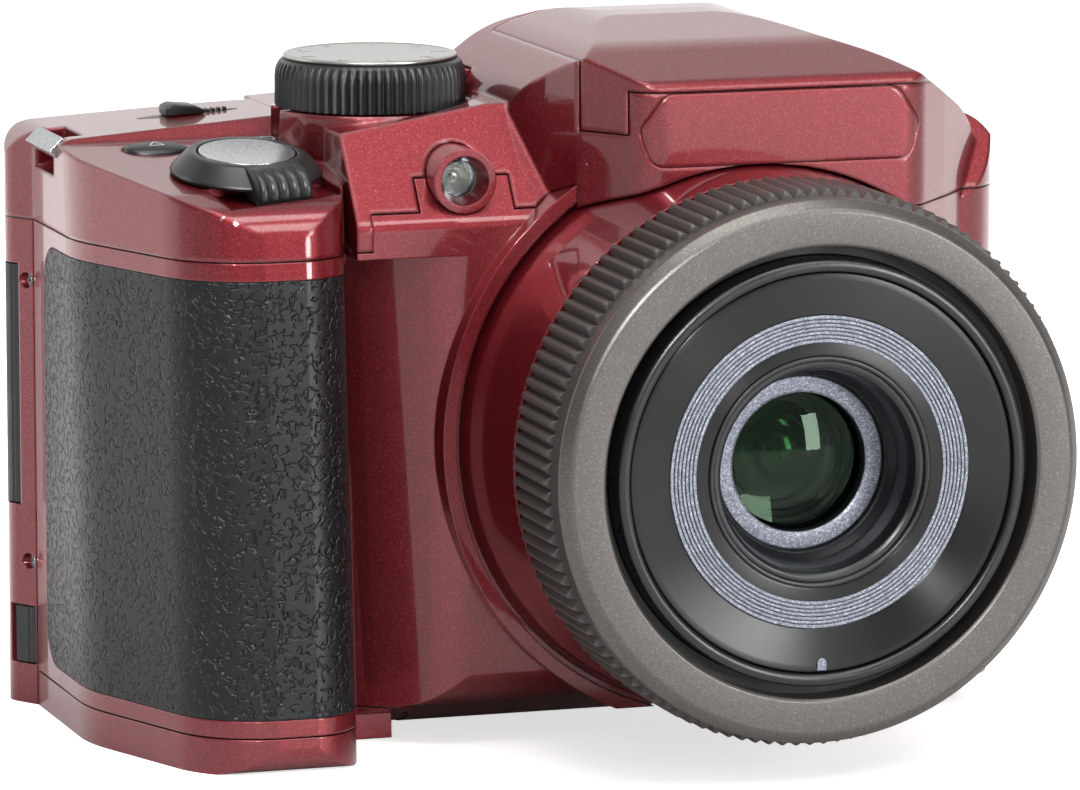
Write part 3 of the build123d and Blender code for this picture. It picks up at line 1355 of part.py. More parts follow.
def lens_base():
    """The plate that closes the tube and carries the rear glass, the sensor and the zoom motor."""
    plate = lens_disc(TUBE_RADIUS, TUBE_REAR, TUBE_REAR - WALL)
    ring = lens_disc(FOCUS_RING_RADIUS, TUBE_REAR + FOCUS_THICKNESS, TUBE_REAR)
    ear = rod(MOTOR_EAR_RADIUS, (MOTOR_X, -TUBE_REAR, MOTOR_HEIGHT), BACKWARD, WALL)
    seat = lens_disc(FOCUS_RADIUS + TRIM_GAP, REACH, TUBE_REAR)
    half = SENSOR_SIDE / 2
    window = block(-half, half, -REACH, REACH, LENS_HEIGHT - half, LENS_HEIGHT + half)
    shaft = rod(MOTOR_SHAFT_RADIUS + TRIM_GAP, (MOTOR_X, -REACH, MOTOR_HEIGHT), BACKWARD, 2 * REACH)
    return plate + ring + ear - seat - window - shaft


def zoom_motor():
    """The drive behind the lens plate, with its shaft through the ear."""
    rear = -TUBE_REAR + WALL
    body = rod(MOTOR_RADIUS, (MOTOR_X, rear, MOTOR_HEIGHT), BACKWARD, MOTOR_LENGTH)
    shaft = rod(MOTOR_SHAFT_RADIUS, (MOTOR_X, rear, MOTOR_HEIGHT), FORWARD, 3 * WALL)
    return body + shaft


def focus_glass():
    return lens_disc(FOCUS_RADIUS, TUBE_REAR + FOCUS_THICKNESS, TUBE_REAR)


def image_sensor():
    half = SENSOR_SIDE / 2 - TRIM_GAP
    front = -TUBE_REAR + TRIM_GAP
    rear = -TUBE_REAR + WALL
    return block(-half, half, front, rear, LENS_HEIGHT - half, LENS_HEIGHT + half)


# The rear face

def lcd_window():
    return lengthwise(screen_face(0), BODY_REAR - SCREEN_GLASS, BODY_REAR)


def lcd_panel():
    wall = BODY_REAR - WALL
    return lengthwise(screen_face(PANEL_MARGIN / 2), wall - PANEL_THICKNESS, wall)


def key_board():
    """The board that the rear buttons press on."""
    rear = KEY_BOARD_FRONT + KEY_BOARD_THICKNESS
    low = REAR_BUTTON_LOW - 2 * REAR_BUTTON_RADIUS
    high = GRIP_SEAM_HEIGHT - WALL
    return block(-BOARD_LEFT_EDGE, -BOARD_RIGHT_EDGE, KEY_BOARD_FRONT, rear, low, high)


def rear_button(x, height, radius):
    """A round cap, a flange behind the wall and a stem to the board."""
    wall = BODY_REAR - WALL - TRIM_GAP
    cap = rod(radius, (x, wall, height), BACKWARD, WALL + TRIM_GAP + REAR_BUTTON_STAND)
    flange = rod(radius + REAR_BUTTON_FLANGE, (x, wall, height), FORWARD, REAR_BUTTON_FLANGE)
    board = KEY_BOARD_FRONT + KEY_BOARD_THICKNESS + REAR_BUTTON_TRAVEL + TRIM_GAP
    stem = rod(BUTTON_STEM_RADIUS, (x, board, height), BACKWARD, wall - board)
    return cap + flange + stem


def video_button():
    return rear_button(-VIDEO_BUTTON_X, VIDEO_BUTTON_HEIGHT, VIDEO_BUTTON_RADIUS)


def four_way_pad():
    """A rocking ring round the set button, clear of the wall by what its tilt needs."""
    wall = BODY_REAR - WALL - PAD_TILT_GAP
    start = (-PAD_X, wall, PAD_HEIGHT)
    cap = rod(PAD_RADIUS, start, BACKWARD, WALL + PAD_TILT_GAP + REAR_BUTTON_STAND)
    flange = rod(PAD_RADIUS + REAR_BUTTON_FLANGE, start, FORWARD, REAR_BUTTON_FLANGE)
    return cap + flange - rod(PAD_BORE, (-PAD_X, 0, PAD_HEIGHT), BACKWARD, REACH)


def set_button():
    top = BODY_REAR + REAR_BUTTON_STAND
    board = KEY_BOARD_FRONT + KEY_BOARD_THICKNESS + REAR_BUTTON_TRAVEL + TRIM_GAP
    cap = rod(SET_RADIUS, (-PAD_X, board, PAD_HEIGHT), BACKWARD, top - board)
    return cap + rod(SET_RADIUS + REAR_BUTTON_FLANGE, (-PAD_X, board, PAD_HEIGHT), BACKWARD, SET_FLANGE)


# Side flaps and ports

def side_flap(front, rear, floor, top):
    """A flap whose rear edge follows a circle about its hinge, so that it swings clear."""
    skin = grip_form(0) - grip_form(FLAP_THICKNESS)
    swing = math.hypot(rear - front, FLAP_THICKNESS / 2)
    sweep = rod(swing, (flap_axis_x(front), front, floor), UPWARD, top - floor)
    leaf = skin & flap_zone(front, rear, floor, top, 0) & sweep
    return leaf + flap_barrel(front, floor, top, 0)


def usb_flap():
    return side_flap(USB_FRONT, USB_REAR, USB_FLOOR, USB_TOP)


def dc_flap():
    return side_flap(DC_FRONT, DC_REAR, DC_FLOOR, DC_TOP)


def usb_port():
    """A metal shell with a tongue in its mouth, against the rear wall."""
    rear = BODY_REAR - WALL
    low = USB_PORT_HEIGHT - USB_PORT_LENGTH / 2
    front = rear - USB_PORT_WIDTH
    wall = USB_PORT_WALL
    shell = block(-USB_PORT_LEFT, -USB_PORT_RIGHT, front, rear, low, low + USB_PORT_LENGTH)
    mouth = block(-REACH, -USB_PORT_RIGHT - wall, front + wall, rear - wall,
                  low + wall, low + USB_PORT_LENGTH - wall)
    tongue_front = (front + rear - USB_TONGUE) / 2
    tongue = block(-USB_PORT_LEFT + wall, -USB_PORT_RIGHT, tongue_front, tongue_front + USB_TONGUE,
                   low + 2 * wall, low + USB_PORT_LENGTH - 2 * wall)
    return shell - mouth + tongue


def dc_jack():
    """A power socket that stands on the body's floor, with a pin in its bore."""
    middle_y = (DC_JACK_FRONT + DC_JACK_REAR) / 2
    middle_z = (DC_FLOOR + DC_TOP) / 2
    jack = block(-DC_JACK_LEFT, -DC_JACK_RIGHT, DC_JACK_FRONT, DC_JACK_REAR, WALL, DC_JACK_TOP)
    floor = (-DC_JACK_RIGHT - DC_PIN_RADIUS, middle_y, middle_z)
    length = DC_JACK_LEFT - DC_JACK_RIGHT - DC_PIN_RADIUS
    jack = jack - rod(DC_JACK_BORE, floor, (-1, 0, 0), REACH)
    return jack + rod(DC_PIN_RADIUS, floor, (-1, 0, 0), length - DC_PIN_RADIUS)


# Batteries, card and their door

def cell_places():
    """The four cells' axes: one in the grip's nose, three behind it."""
    return ((-FRONT_CELL_X, -FRONT_CELL_Y), (-LEFT_CELL_X, -LEFT_CELL_Y),
            (-RIGHT_CELL_X, -RIGHT_CELL_Y), (-REAR_CELL_X, REAR_CELL_Y))


def aa_cells():
    """Four AA cells, two of them upside down."""
    cells = []
    for index, (x, y) in enumerate(cell_places()):
        can = rod(CELL_DIAMETER / 2, (x, y, CELL_FLOOR), UPWARD, CELL_LENGTH)
        if index % 2 == 0:
            nub = rod(CELL_NUB_RADIUS, (x, y, CELL_FLOOR + CELL_LENGTH), UPWARD, CELL_NUB)
            cells.append(can + nub)
        else:
            can = Pos(0, 0, CELL_NUB) * can
            cells.append(can + rod(CELL_NUB_RADIUS, (x, y, CELL_FLOOR), UPWARD, CELL_NUB))
    return cells


def card_form(gap):
    return block(-CARD_X - CARD_THICKNESS / 2 - gap, -CARD_X + CARD_THICKNESS / 2 + gap,
                 CARD_Y - CARD_WIDTH / 2 - gap, CARD_Y + CARD_WIDTH / 2 + gap,
                 CARD_FLOOR, CARD_FLOOR + CARD_HEIGHT + gap)


def sd_card():
    """A memory card with one cut corner."""
    corner = CARD_WIDTH / 6
    notch = Pos(-CARD_X, CARD_Y - CARD_WIDTH / 2, CARD_FLOOR + CARD_HEIGHT) * Rot(45, 0, 0) * Box(
        REACH, corner, corner)
    return card_form(0) - notch


def battery_box():
    """The block of wells that holds the cells and the card."""
    box = block(-REACH, -BAY_RIGHT, -BAY_FRONT, BAY_REAR, BAY_FLOOR, BAY_TOP + BAY_CEILING)
    box = box & (grip_form(WALL + PRESS_GAP) + main_form(WALL + PRESS_GAP))
    for x, y in cell_places():
        box = box - rod(CELL_DIAMETER / 2 + BAY_GAP, (x, y, 0), UPWARD, BAY_TOP)
    return box - card_form(CARD_GAP) - Pos(0, 0, -CARD_HEIGHT / 2) * card_form(CARD_GAP)


def contact_strip(first, second, low, bump):
    """A strip between two cells, with a round spring bump under each."""
    (x1, y1), (x2, y2) = first, second
    length = math.hypot(x2 - x1, y2 - y1)
    turn = math.degrees(math.atan2(y2 - y1, x2 - x1))
    middle = Pos((x1 + x2) / 2, (y1 + y2) / 2, low + CONTACT_THICKNESS / 2)
    strip = middle * Rot(0, 0, turn) * Box(length, 2 * CONTACT_RADIUS, CONTACT_THICKNESS)
    for x, y in (first, second):
        strip = strip + rod(CONTACT_RADIUS, (x, y, low), UPWARD, CONTACT_THICKNESS + bump)
    return strip


def battery_contacts():
    """A round contact under the bay's ceiling for each cell."""
    places = cell_places()
    low = BAY_TOP - CONTACT_THICKNESS - TRIM_GAP
    discs = []
    for x, y in places:
        discs.append(rod(CONTACT_RADIUS, (x, y, low), UPWARD, CONTACT_THICKNESS))
    return discs


def door_block():
    """The thick inner part of the door that carries the contacts and the latch."""
    right = -CARD_X - CARD_WIDTH / 6
    rear = DOOR_REAR - DOOR_BLOCK_INSET
    slab = block(-REACH, right, -REACH, rear, DOOR_FLOOR, DOOR_SEAM_HEIGHT - TRIM_GAP)
    return slab & grip_form(WALL - TRIM_GAP)


def battery_door():
    """The bottom of the grip, on a round edge that is its hinge."""
    start = (-DOOR_HINGE_X, -REACH, DOOR_HINGE_HEIGHT)
    barrel = rod(DOOR_BARREL, start, BACKWARD, REACH + DOOR_REAR)
    door = (SHELL & door_zone(0)) + door_block() + (barrel & BODY_OUTER)
    return door - latch_space()


def door_contacts():
    """Two strips on the door, each with a bump under two cells."""
    places = cell_places()
    low = DOOR_SEAM_HEIGHT - TRIM_GAP
    bump = CELL_FLOOR - low - CONTACT_THICKNESS - TRIM_GAP
    return [contact_strip(places[0], places[2], low, bump), contact_strip(places[1], places[3], low, bump)]


def latch_bar(gap, travel):
    """The latch's bolt and neck, or the channel that it slides in."""
    half = LATCH_BOLT_WIDTH / 2 + gap
    low = DOOR_FLOOR + LATCH_BOLT_THICKNESS / 2
    bolt = block(-LATCH_X - half, -LATCH_X + half, LATCH_Y - LATCH_WIDTH / 2 - gap - travel,
                 DOOR_REAR - DOOR_BLOCK_INSET, low - gap, low + LATCH_BOLT_THICKNESS + gap)
    neck = block(-LATCH_X - half, -LATCH_X + half, LATCH_Y - LATCH_BOLT_WIDTH / 2 - gap - travel,
                 LATCH_Y + LATCH_BOLT_WIDTH / 2 + gap, LATCH_DEPTH / 2, low + LATCH_BOLT_THICKNESS / 2)
    return bolt + neck


def latch_knob(gap, travel, low):
    half = LATCH_LENGTH / 2 + gap
    return block(-LATCH_X - half, -LATCH_X + half, LATCH_Y - LATCH_WIDTH / 2 - gap - travel,
                 LATCH_Y + LATCH_WIDTH / 2 + gap, low, LATCH_DEPTH)


def latch_space():
    room = latch_bar(PRESS_GAP, LATCH_TRAVEL) + latch_knob(PRESS_GAP, LATCH_TRAVEL, -OVERRUN)
    bolt = block(-LATCH_X - LATCH_BOLT_WIDTH / 2 - PRESS_GAP, -LATCH_X + LATCH_BOLT_WIDTH / 2 + PRESS_GAP,
                 LATCH_Y, REACH, DOOR_FLOOR + LATCH_BOLT_THICKNESS / 2 - PRESS_GAP,
                 DOOR_FLOOR + 3 * LATCH_BOLT_THICKNESS / 2 + PRESS_GAP)
    return room + bolt


def battery_latch():
    """A ribbed thumb slide under the door, with its bolt."""
    knob = latch_knob(0, 0, PRESS_GAP) - latch_knob(0, 0, LATCH_DEPTH - PRESS_GAP)
    return knob + latch_bar(0, 0)


# Inside the body

def chassis():
    """The upright plate between the lens and the main board, on two feet."""
    rear = CHASSIS_Y + CHASSIS_THICKNESS
    plate = block(-CHASSIS_LEFT, CHASSIS_RIGHT, CHASSIS_Y, rear, WALL, CHASSIS_TOP)
    foot_front = FOOT_SCREW_Y - 2 * SCREW_HEAD_RADIUS
    for side in (-1, 1):
        left = side * FOOT_SCREW_X - SCREW_TAB / 2
        plate = plate + block(left, left + SCREW_TAB, foot_front, CHASSIS_Y, WALL, WALL + SCREW_LENGTH)
    return plate - screw_holes()


def main_board():
    """The circuit board on four standoffs, with its largest chip."""
    left = -CHASSIS_LEFT + BOARD_MARGIN
    right = CHASSIS_RIGHT - BOARD_MARGIN
    floor = WALL + BOARD_MARGIN
    top = SCREEN_TOP
    board = block(left, right, BOARD_Y, BOARD_Y + BOARD_THICKNESS, floor, top)
    for x in (left + BOARD_MARGIN, right - BOARD_MARGIN):
        for height in (floor + BOARD_MARGIN, top - BOARD_MARGIN):
            foot = CHASSIS_Y + CHASSIS_THICKNESS
            board = board + rod(BOARD_STANDOFF_RADIUS, (x, foot, height), BACKWARD, BOARD_Y - foot)
    rear = BOARD_Y + BOARD_THICKNESS
    half = CHIP_SIDE / 2
    chip = block(-half, half, rear, rear + CHIP_HEIGHT, LENS_HEIGHT - half, LENS_HEIGHT + half)
    return board + chip


def speaker():
    start = (BODY_RIGHT - WALL, SPEAKER_Y, SPEAKER_HEIGHT)
    return rod(SPEAKER_RADIUS, start, (-1, 0, 0), SPEAKER_THICKNESS)


def flash_capacitor():
    under = FLASH_CASE_FLOOR - WELL_CLEARANCE - WALL / 2 - CAPACITOR_RADIUS - TRIM_GAP
    start = (CAPACITOR_X - CAPACITOR_LENGTH / 2, CAPACITOR_Y, under)
    return rod(CAPACITOR_RADIUS, start, (1, 0, 0), CAPACITOR_LENGTH)


def tripod_bush():
    """A metal bush flush with the bottom, with a flange on the inside."""
    bush = rod(SOCKET_BUSH_RADIUS, (0, 0, 0), UPWARD, SOCKET_DEPTH + SOCKET_BUSH_FLANGE)
    flange = rod(SOCKET_BUSH_FLANGE_RADIUS, (0, 0, WALL), UPWARD, SOCKET_BUSH_FLANGE)
    return bush + flange - rod(SOCKET_RADIUS, (0, 0, -OVERRUN), UPWARD, OVERRUN + SOCKET_DEPTH)


def strap_bars():
    return [lug_bar(side, 0) for side in (-1, 1)]


# Every sub-part by name

PIECES = {
    "front_cover": front_cover,
    "rear_cover": rear_cover,
    "top_cover": top_cover,
    "grip_rubber": grip_rubber,
    "thumb_rest": thumb_rest,
    "strap_bars": strap_bars,
    "case_screws": case_screws,
    "front_plate": front_plate,
    "lamp_collar": lamp_collar,
    "lamp_window": lamp_window,
    "lens_tube": lens_tube,
    "lens_base": lens_base,
    "zoom_motor": zoom_motor,
    "focus_glass": focus_glass,
    "image_sensor": image_sensor,
    "knurled_ring": knurled_ring,
    "front_ring": front_ring,
    "outer_barrel": outer_barrel,
    "inner_barrel": inner_barrel,
    "front_cell": front_cell,
    "front_glass": front_glass,
    "mode_dial": mode_dial,
    "dial_cap": dial_cap,
    "shutter_button": shutter_button,
    "zoom_lever": zoom_lever,
    "flash_mode_button": lambda: top_button(FLASH_MODE_PLANE),
    "burst_button": lambda: top_button(BURST_PLANE),
    "power_slider": power_slider,
    "flash_hood": flash_hood,
    "flash_case": flash_case,
    "flash_window": flash_window,
    "flash_tube": flash_tube,
    "hinge_pin": hinge_pin,
    "flash_release": flash_release,
    "flash_capacitor": flash_capacitor,
    "lcd_window": lcd_window,
    "lcd_panel": lcd_panel,
    "key_board": key_board,
    "video_button": video_button,
    "four_way_pad": four_way_pad,
    "set_button": set_button,
    "usb_flap": usb_flap,
    "usb_port": usb_port,
    "dc_flap": dc_flap,
    "dc_jack": dc_jack,
    "battery_door": battery_door,
    "door_contacts": door_contacts,
    "battery_latch": battery_latch,
    "battery_box": battery_box,
    "battery_contacts": battery_contacts,
    "aa_cells": aa_cells,
    "sd_card": sd_card,
    "chassis": chassis,
    "main_board": main_board,
    "speaker": speaker,
    "tripod_bush": tripod_bush,
}
for number, (button_x, button_height) in enumerate(rear_button_places(), start=1):
    PIECES[f"rear_button_{number}"] = (
        lambda x=button_x, height=button_height: rear_button(x, height, REAR_BUTTON_RADIUS))

os.makedirs("parts", exist_ok=True)
for name, build in PIECES.items():
    piece = build()
    if isinstance(piece, list):
        piece = Compound(children=piece)
    export_step(piece, f"parts/{name}.step")
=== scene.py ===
import math

import bmesh
import bpy
from mathutils import Matrix, Vector


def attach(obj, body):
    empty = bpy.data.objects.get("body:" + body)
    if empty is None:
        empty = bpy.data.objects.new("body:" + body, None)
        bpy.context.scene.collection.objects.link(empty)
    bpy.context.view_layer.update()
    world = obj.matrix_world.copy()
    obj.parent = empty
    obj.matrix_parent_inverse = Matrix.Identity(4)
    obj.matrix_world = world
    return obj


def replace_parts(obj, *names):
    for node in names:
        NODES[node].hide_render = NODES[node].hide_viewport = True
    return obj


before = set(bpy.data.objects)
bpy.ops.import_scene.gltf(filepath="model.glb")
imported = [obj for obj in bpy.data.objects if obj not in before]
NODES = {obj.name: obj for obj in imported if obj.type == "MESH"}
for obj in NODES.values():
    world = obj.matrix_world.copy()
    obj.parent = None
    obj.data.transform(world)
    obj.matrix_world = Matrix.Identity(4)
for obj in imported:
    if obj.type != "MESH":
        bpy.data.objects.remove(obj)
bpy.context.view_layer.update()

MM = 0.001

# Places and sizes that the pieces here share with the solid model, in millimetres

LENS_HEIGHT = 37.5
DIAL_X = -38.1
DIAL_Y = -2.5
DECK_SLOPE_SIDE = math.atan2(3.3, 24.0)
SHUTTER_PLACE = (-57.2, -14.3, 69.46)
FLASH_MODE_PLACE = (-65.0, -1.6, 71.205)
BURST_PLACE = (-51.5, -1.2, 71.26)
POWER_PLACE = (-57.3, 14.0, 73.351)
POWER_SLOPE = math.atan2(3.4, 53.6)
LAMP_X = -32.9
LAMP_HEIGHT = 68.9
LAMP_FRONT = -22.0


# The camera, which stands where the photograph was taken

PHOTO_WIDTH = 1080
FOCAL_PIXELS = 7500.0
SENSOR_WIDTH = 36.0
CAMERA_PLACE = (-299.6, -872.3, 189.2)
CAMERA_TURN = -18.04
CAMERA_DIP = 9.34


def make_camera():
    data = bpy.data.cameras.new("camera")
    data.sensor_fit = "HORIZONTAL"
    data.sensor_width = SENSOR_WIDTH
    data.lens = FOCAL_PIXELS / PHOTO_WIDTH * SENSOR_WIDTH
    data.clip_start = 0.05
    data.clip_end = 20.0
    camera = bpy.data.objects.new("camera", data)
    camera.location = Vector(CAMERA_PLACE) * MM
    camera.rotation_euler = (math.radians(90 - CAMERA_DIP), 0, math.radians(CAMERA_TURN))
    bpy.context.scene.collection.objects.link(camera)
    bpy.context.scene.camera = camera


# Colours and nodes

def srgb(code):
    """A hex colour as the linear colour that Blender works in."""
    channels = []
    for start in (1, 3, 5):
        value = int(code[start:start + 2], 16) / 255
        channels.append(value / 12.92 if value <= 0.04045 else ((value + 0.055) / 1.055) ** 2.4)
    return (*channels, 1.0)


def add(tree, kind, links=(), **settings):
    """Adds a node: a setting is a property or an input, and links are (input, output) pairs."""
    node = tree.nodes.new(kind)
    for name, value in settings.items():
        if hasattr(node, name):
            setattr(node, name, value)
        else:
            node.inputs[name.replace("_", " ")].default_value = value
    for name, socket in links:
        tree.links.new(socket, node.inputs[name])
    return node


def new_material(name):
    """A material with one empty Principled shader."""
    material = bpy.data.materials.new(name)
    material.use_nodes = True
    tree = material.node_tree
    tree.nodes.clear()
    shader = add(tree, "ShaderNodeBsdfPrincipled")
    add(tree, "ShaderNodeOutputMaterial", links=[("Surface", shader.outputs["BSDF"])])
    return material, tree, shader


def set_shader(shader, **values):
    for name, value in values.items():
        shader.inputs[name.replace("_", " ")].default_value = value


def object_points(tree):
    return add(tree, "ShaderNodeTexCoord").outputs["Object"]


def cells_per_metre(size):
    """The texture scale that gives one cell for this many millimetres."""
    return 1 / (size * MM)


def colour_steps(tree, socket, steps):
    """A colour ramp of (place, colour) steps over a socket."""
    ramp = add(tree, "ShaderNodeValToRGB", links=[("Fac", socket)])
    elements = ramp.color_ramp.elements
    while len(elements) < len(steps):
        elements.new(1.0)
    for element, (place, colour) in zip(elements, steps):
        element.position = place
        element.color = colour
    return ramp.outputs["Color"]


def rounded_edge(tree, radius):
    """A normal that rounds the sharp edges of a moulded piece."""
    return add(tree, "ShaderNodeBevel", samples=6, Radius=radius * MM).outputs["Normal"]


def grain_bump(tree, height_socket, depth, normal=None):
    bump = add(tree, "ShaderNodeBump", links=[("Height", height_socket)],
               Strength=1.0, Distance=depth * MM)
    if normal is not None:
        tree.links.new(normal, bump.inputs["Normal"])
    return bump.outputs["Normal"]


# Finishes

def radial_reach(tree, across, along):
    """How far a point is from an axis, in metres. Each pair is an object axis and its centre."""
    parts = add(tree, "ShaderNodeSeparateXYZ", links=[("Vector", object_points(tree))]).outputs
    flat = add(tree, "ShaderNodeCombineXYZ")
    for name, centre, socket in (("X", across[1], across[0]), ("Y", along[1], along[0])):
        shifted = add(tree, "ShaderNodeMath", operation="SUBTRACT", links=[(0, parts[socket])])
        shifted.inputs[1].default_value = centre * MM
        tree.links.new(shifted.outputs[0], flat.inputs[name])
    length = add(tree, "ShaderNodeVectorMath", operation="LENGTH",
                 links=[(0, flat.outputs["Vector"])])
    return length.outputs["Value"]


def spread(tree, socket, low, high, new_low=0.0, new_high=1.0):
    """Maps a range of a value to another range, with soft ends."""
    node = add(tree, "ShaderNodeMapRange", links=[("Value", socket)],
               interpolation_type="SMOOTHSTEP")
    node.inputs["From Min"].default_value = low
    node.inputs["From Max"].default_value = high
    node.inputs["To Min"].default_value = new_low
    node.inputs["To Max"].default_value = new_high
    return node.outputs["Result"]


def flakes(tree, size):
    """Metal flakes in a paint: each cell's own random colour."""
    cells = add(tree, "ShaderNodeTexVoronoi", links=[("Vector", object_points(tree))],
                Scale=cells_per_metre(size))
    return add(tree, "ShaderNodeSeparateColor", links=[("Color", cells.outputs["Color"])]).outputs


RED_FLAKE = 0.11
RED_FLAKE_TILT = 0.0012
POLISH_PATCH = 9.0
POLISH_LOW = 0.025
POLISH_HIGH = 0.06


def pearl_red_lacquer(name="pearl_red_lacquer", edge_radius=0.25):
    """Pearl red lacquer over moulded polycarbonate: fine flakes under a clear, sharp top coat."""
    material, tree, shader = new_material(name)
    glint = flakes(tree, RED_FLAKE)
    colour = colour_steps(tree, glint["Red"], [
        (0.0, srgb("#620711")),
        (0.8, srgb("#740B17")),
        (1.0, srgb("#94303A")),
    ])
    tree.links.new(colour, shader.inputs["Base Color"])
    edge = rounded_edge(tree, edge_radius)
    tilt = grain_bump(tree, glint["Green"], RED_FLAKE_TILT, edge)
    tree.links.new(tilt, shader.inputs["Normal"])
    tree.links.new(edge, shader.inputs["Coat Normal"])
    wear = add(tree, "ShaderNodeTexNoise", links=[("Vector", object_points(tree))],
               Scale=cells_per_metre(POLISH_PATCH), Detail=4.0)
    polish = spread(tree, wear.outputs["Fac"], 0.35, 0.75, POLISH_LOW, POLISH_HIGH)
    tree.links.new(polish, shader.inputs["Coat Roughness"])
    set_shader(shader, Metallic=0.62, Roughness=0.4, Coat_Weight=0.9, Coat_IOR=1.5)
    return material


SWIRL_SIZE = 1.2
SWIRL_REACH = 1.5
CREASE_SIZE = 1.15
CREASE_DEPTH = 0.17
GAP_SIZE = 1.0
PORE_SIZE = 0.25
PORE_DEPTH = 0.02


def grained_rubber():
    """Moulded thermoplastic rubber: a leather grain of broken, wormy creases on a dark skin."""
    material, tree, shader = new_material("grained_rubber")
    points = object_points(tree)
    swirl = add(tree, "ShaderNodeTexNoise", links=[("Vector", points)],
                Scale=cells_per_metre(SWIRL_SIZE), Detail=1.0)
    moved = add(tree, "ShaderNodeVectorMath", links=[("Vector", swirl.outputs["Color"])],
                operation="SCALE", Scale=SWIRL_REACH * MM)
    place = add(tree, "ShaderNodeVectorMath", links=[(0, points), (1, moved.outputs["Vector"])],
                operation="ADD")
    cells = add(tree, "ShaderNodeTexVoronoi", links=[("Vector", place.outputs["Vector"])],
                feature="DISTANCE_TO_EDGE", Scale=cells_per_metre(CREASE_SIZE))
    line = spread(tree, cells.outputs["Distance"], 0.02, 0.16, 1.0, 0.0)
    patch = add(tree, "ShaderNodeTexNoise", links=[("Vector", points)],
                Scale=cells_per_metre(GAP_SIZE), Detail=0.0)
    broken = spread(tree, patch.outputs["Fac"], 0.42, 0.54)
    crease = add(tree, "ShaderNodeMath", operation="MULTIPLY", links=[(0, line), (1, broken)])
    skin = add(tree, "ShaderNodeMath", operation="SUBTRACT", links=[(1, crease.outputs[0])])
    skin.inputs[0].default_value = 1.0
    pores = add(tree, "ShaderNodeTexNoise", links=[("Vector", points)],
                Scale=cells_per_metre(PORE_SIZE), Detail=2.0)
    grain = grain_bump(tree, pores.outputs["Fac"], PORE_DEPTH, rounded_edge(tree, 0.3))
    creased = grain_bump(tree, skin.outputs[0], CREASE_DEPTH, grain)
    tree.links.new(creased, shader.inputs["Normal"])
    # The creases are coloured darker than the skin: painted shade in the creases.
    colour = colour_steps(tree, skin.outputs[0], [(0.0, srgb("#08090A")), (1.0, srgb("#141518"))])
    tree.links.new(colour, shader.inputs["Base Color"])
    set_shader(shader, Roughness=0.36, Specular_IOR_Level=0.32)
    return material


HANDLED_PATCH = 5.0


def moulded_plastic(name, code, roughness=0.5, metallic=0.0, grain=0.12, depth=0.004, edge=0.2):
    """Moulded plastic or plain metal with a fine, even texture and rounded edges."""
    material, tree, shader = new_material(name)
    points = object_points(tree)
    noise = add(tree, "ShaderNodeTexNoise", links=[("Vector", points)],
                Scale=cells_per_metre(grain), Detail=2.0)
    low = [channel * 0.9 for channel in srgb(code)[:3]]
    high = [min(1.0, channel * 1.1) for channel in srgb(code)[:3]]
    colour = colour_steps(tree, noise.outputs["Fac"], [(0.3, (*low, 1)), (0.7, (*high, 1))])
    tree.links.new(colour, shader.inputs["Base Color"])
    bump = grain_bump(tree, noise.outputs["Fac"], depth, rounded_edge(tree, edge))
    tree.links.new(bump, shader.inputs["Normal"])
    handled = add(tree, "ShaderNodeTexNoise", links=[("Vector", points)],
                  Scale=cells_per_metre(HANDLED_PATCH), Detail=3.0)
    smooth = roughness * 0.9
    dull = min(1.0, roughness * 1.12)
    rough = spread(tree, handled.outputs["Fac"], 0.3, 0.7, smooth, dull)
    tree.links.new(rough, shader.inputs["Roughness"])
    set_shader(shader, Metallic=metallic)
    return material


CLOUD_SIZE = 0.5


def turned_silver():
    """Satin plated aluminium: a faint cloudiness of the plating, and a soft mirror."""
    material, tree, shader = new_material("turned_silver")
    points = object_points(tree)
    noise = add(tree, "ShaderNodeTexNoise", links=[("Vector", points)],
                Scale=cells_per_metre(CLOUD_SIZE), Detail=4.0)
    colour = colour_steps(tree, noise.outputs["Fac"], [
        (0.3, srgb("#9A9C9E")),
        (0.7, srgb("#B4B6B8")),
    ])
    tree.links.new(colour, shader.inputs["Base Color"])
    bump = grain_bump(tree, noise.outputs["Fac"], 0.002, rounded_edge(tree, 0.25))
    tree.links.new(bump, shader.inputs["Normal"])
    set_shader(shader, Metallic=0.95, Roughness=0.24)
    return material


SMEAR_SIZE = 6.0


def clear_pane(name, code, roughness=0.03):
    """Clear moulded acrylic or glass, with a faint smear on it."""
    material, tree, shader = new_material(name)
    smear = add(tree, "ShaderNodeTexNoise", links=[("Vector", object_points(tree))],
                Scale=cells_per_metre(SMEAR_SIZE), Detail=3.0)
    rough = spread(tree, smear.outputs["Fac"], 0.3, 0.7, roughness, roughness + 0.04)
    tree.links.new(rough, shader.inputs["Roughness"])
    set_shader(shader, Base_Color=srgb(code), Transmission_Weight=1.0, IOR=1.49)
    return material


DUST_SIZE = 2.5


def coated_glass(name, code):
    """Polished lens glass with a little dust. Its coating mirrors less, as a lower IOR does."""
    material, tree, shader = new_material(name)
    dust = add(tree, "ShaderNodeTexNoise", links=[("Vector", object_points(tree))],
               Scale=cells_per_metre(DUST_SIZE), Detail=5.0)
    rough = spread(tree, dust.outputs["Fac"], 0.6, 0.9, 0.0, 0.02)
    tree.links.new(rough, shader.inputs["Roughness"])
    set_shader(shader, Base_Color=srgb(code), Transmission_Weight=1.0, IOR=1.3,
               Specular_Tint=srgb("#D4F5D8"))
    return material


REFLECTION_RING_PITCH = 1.7


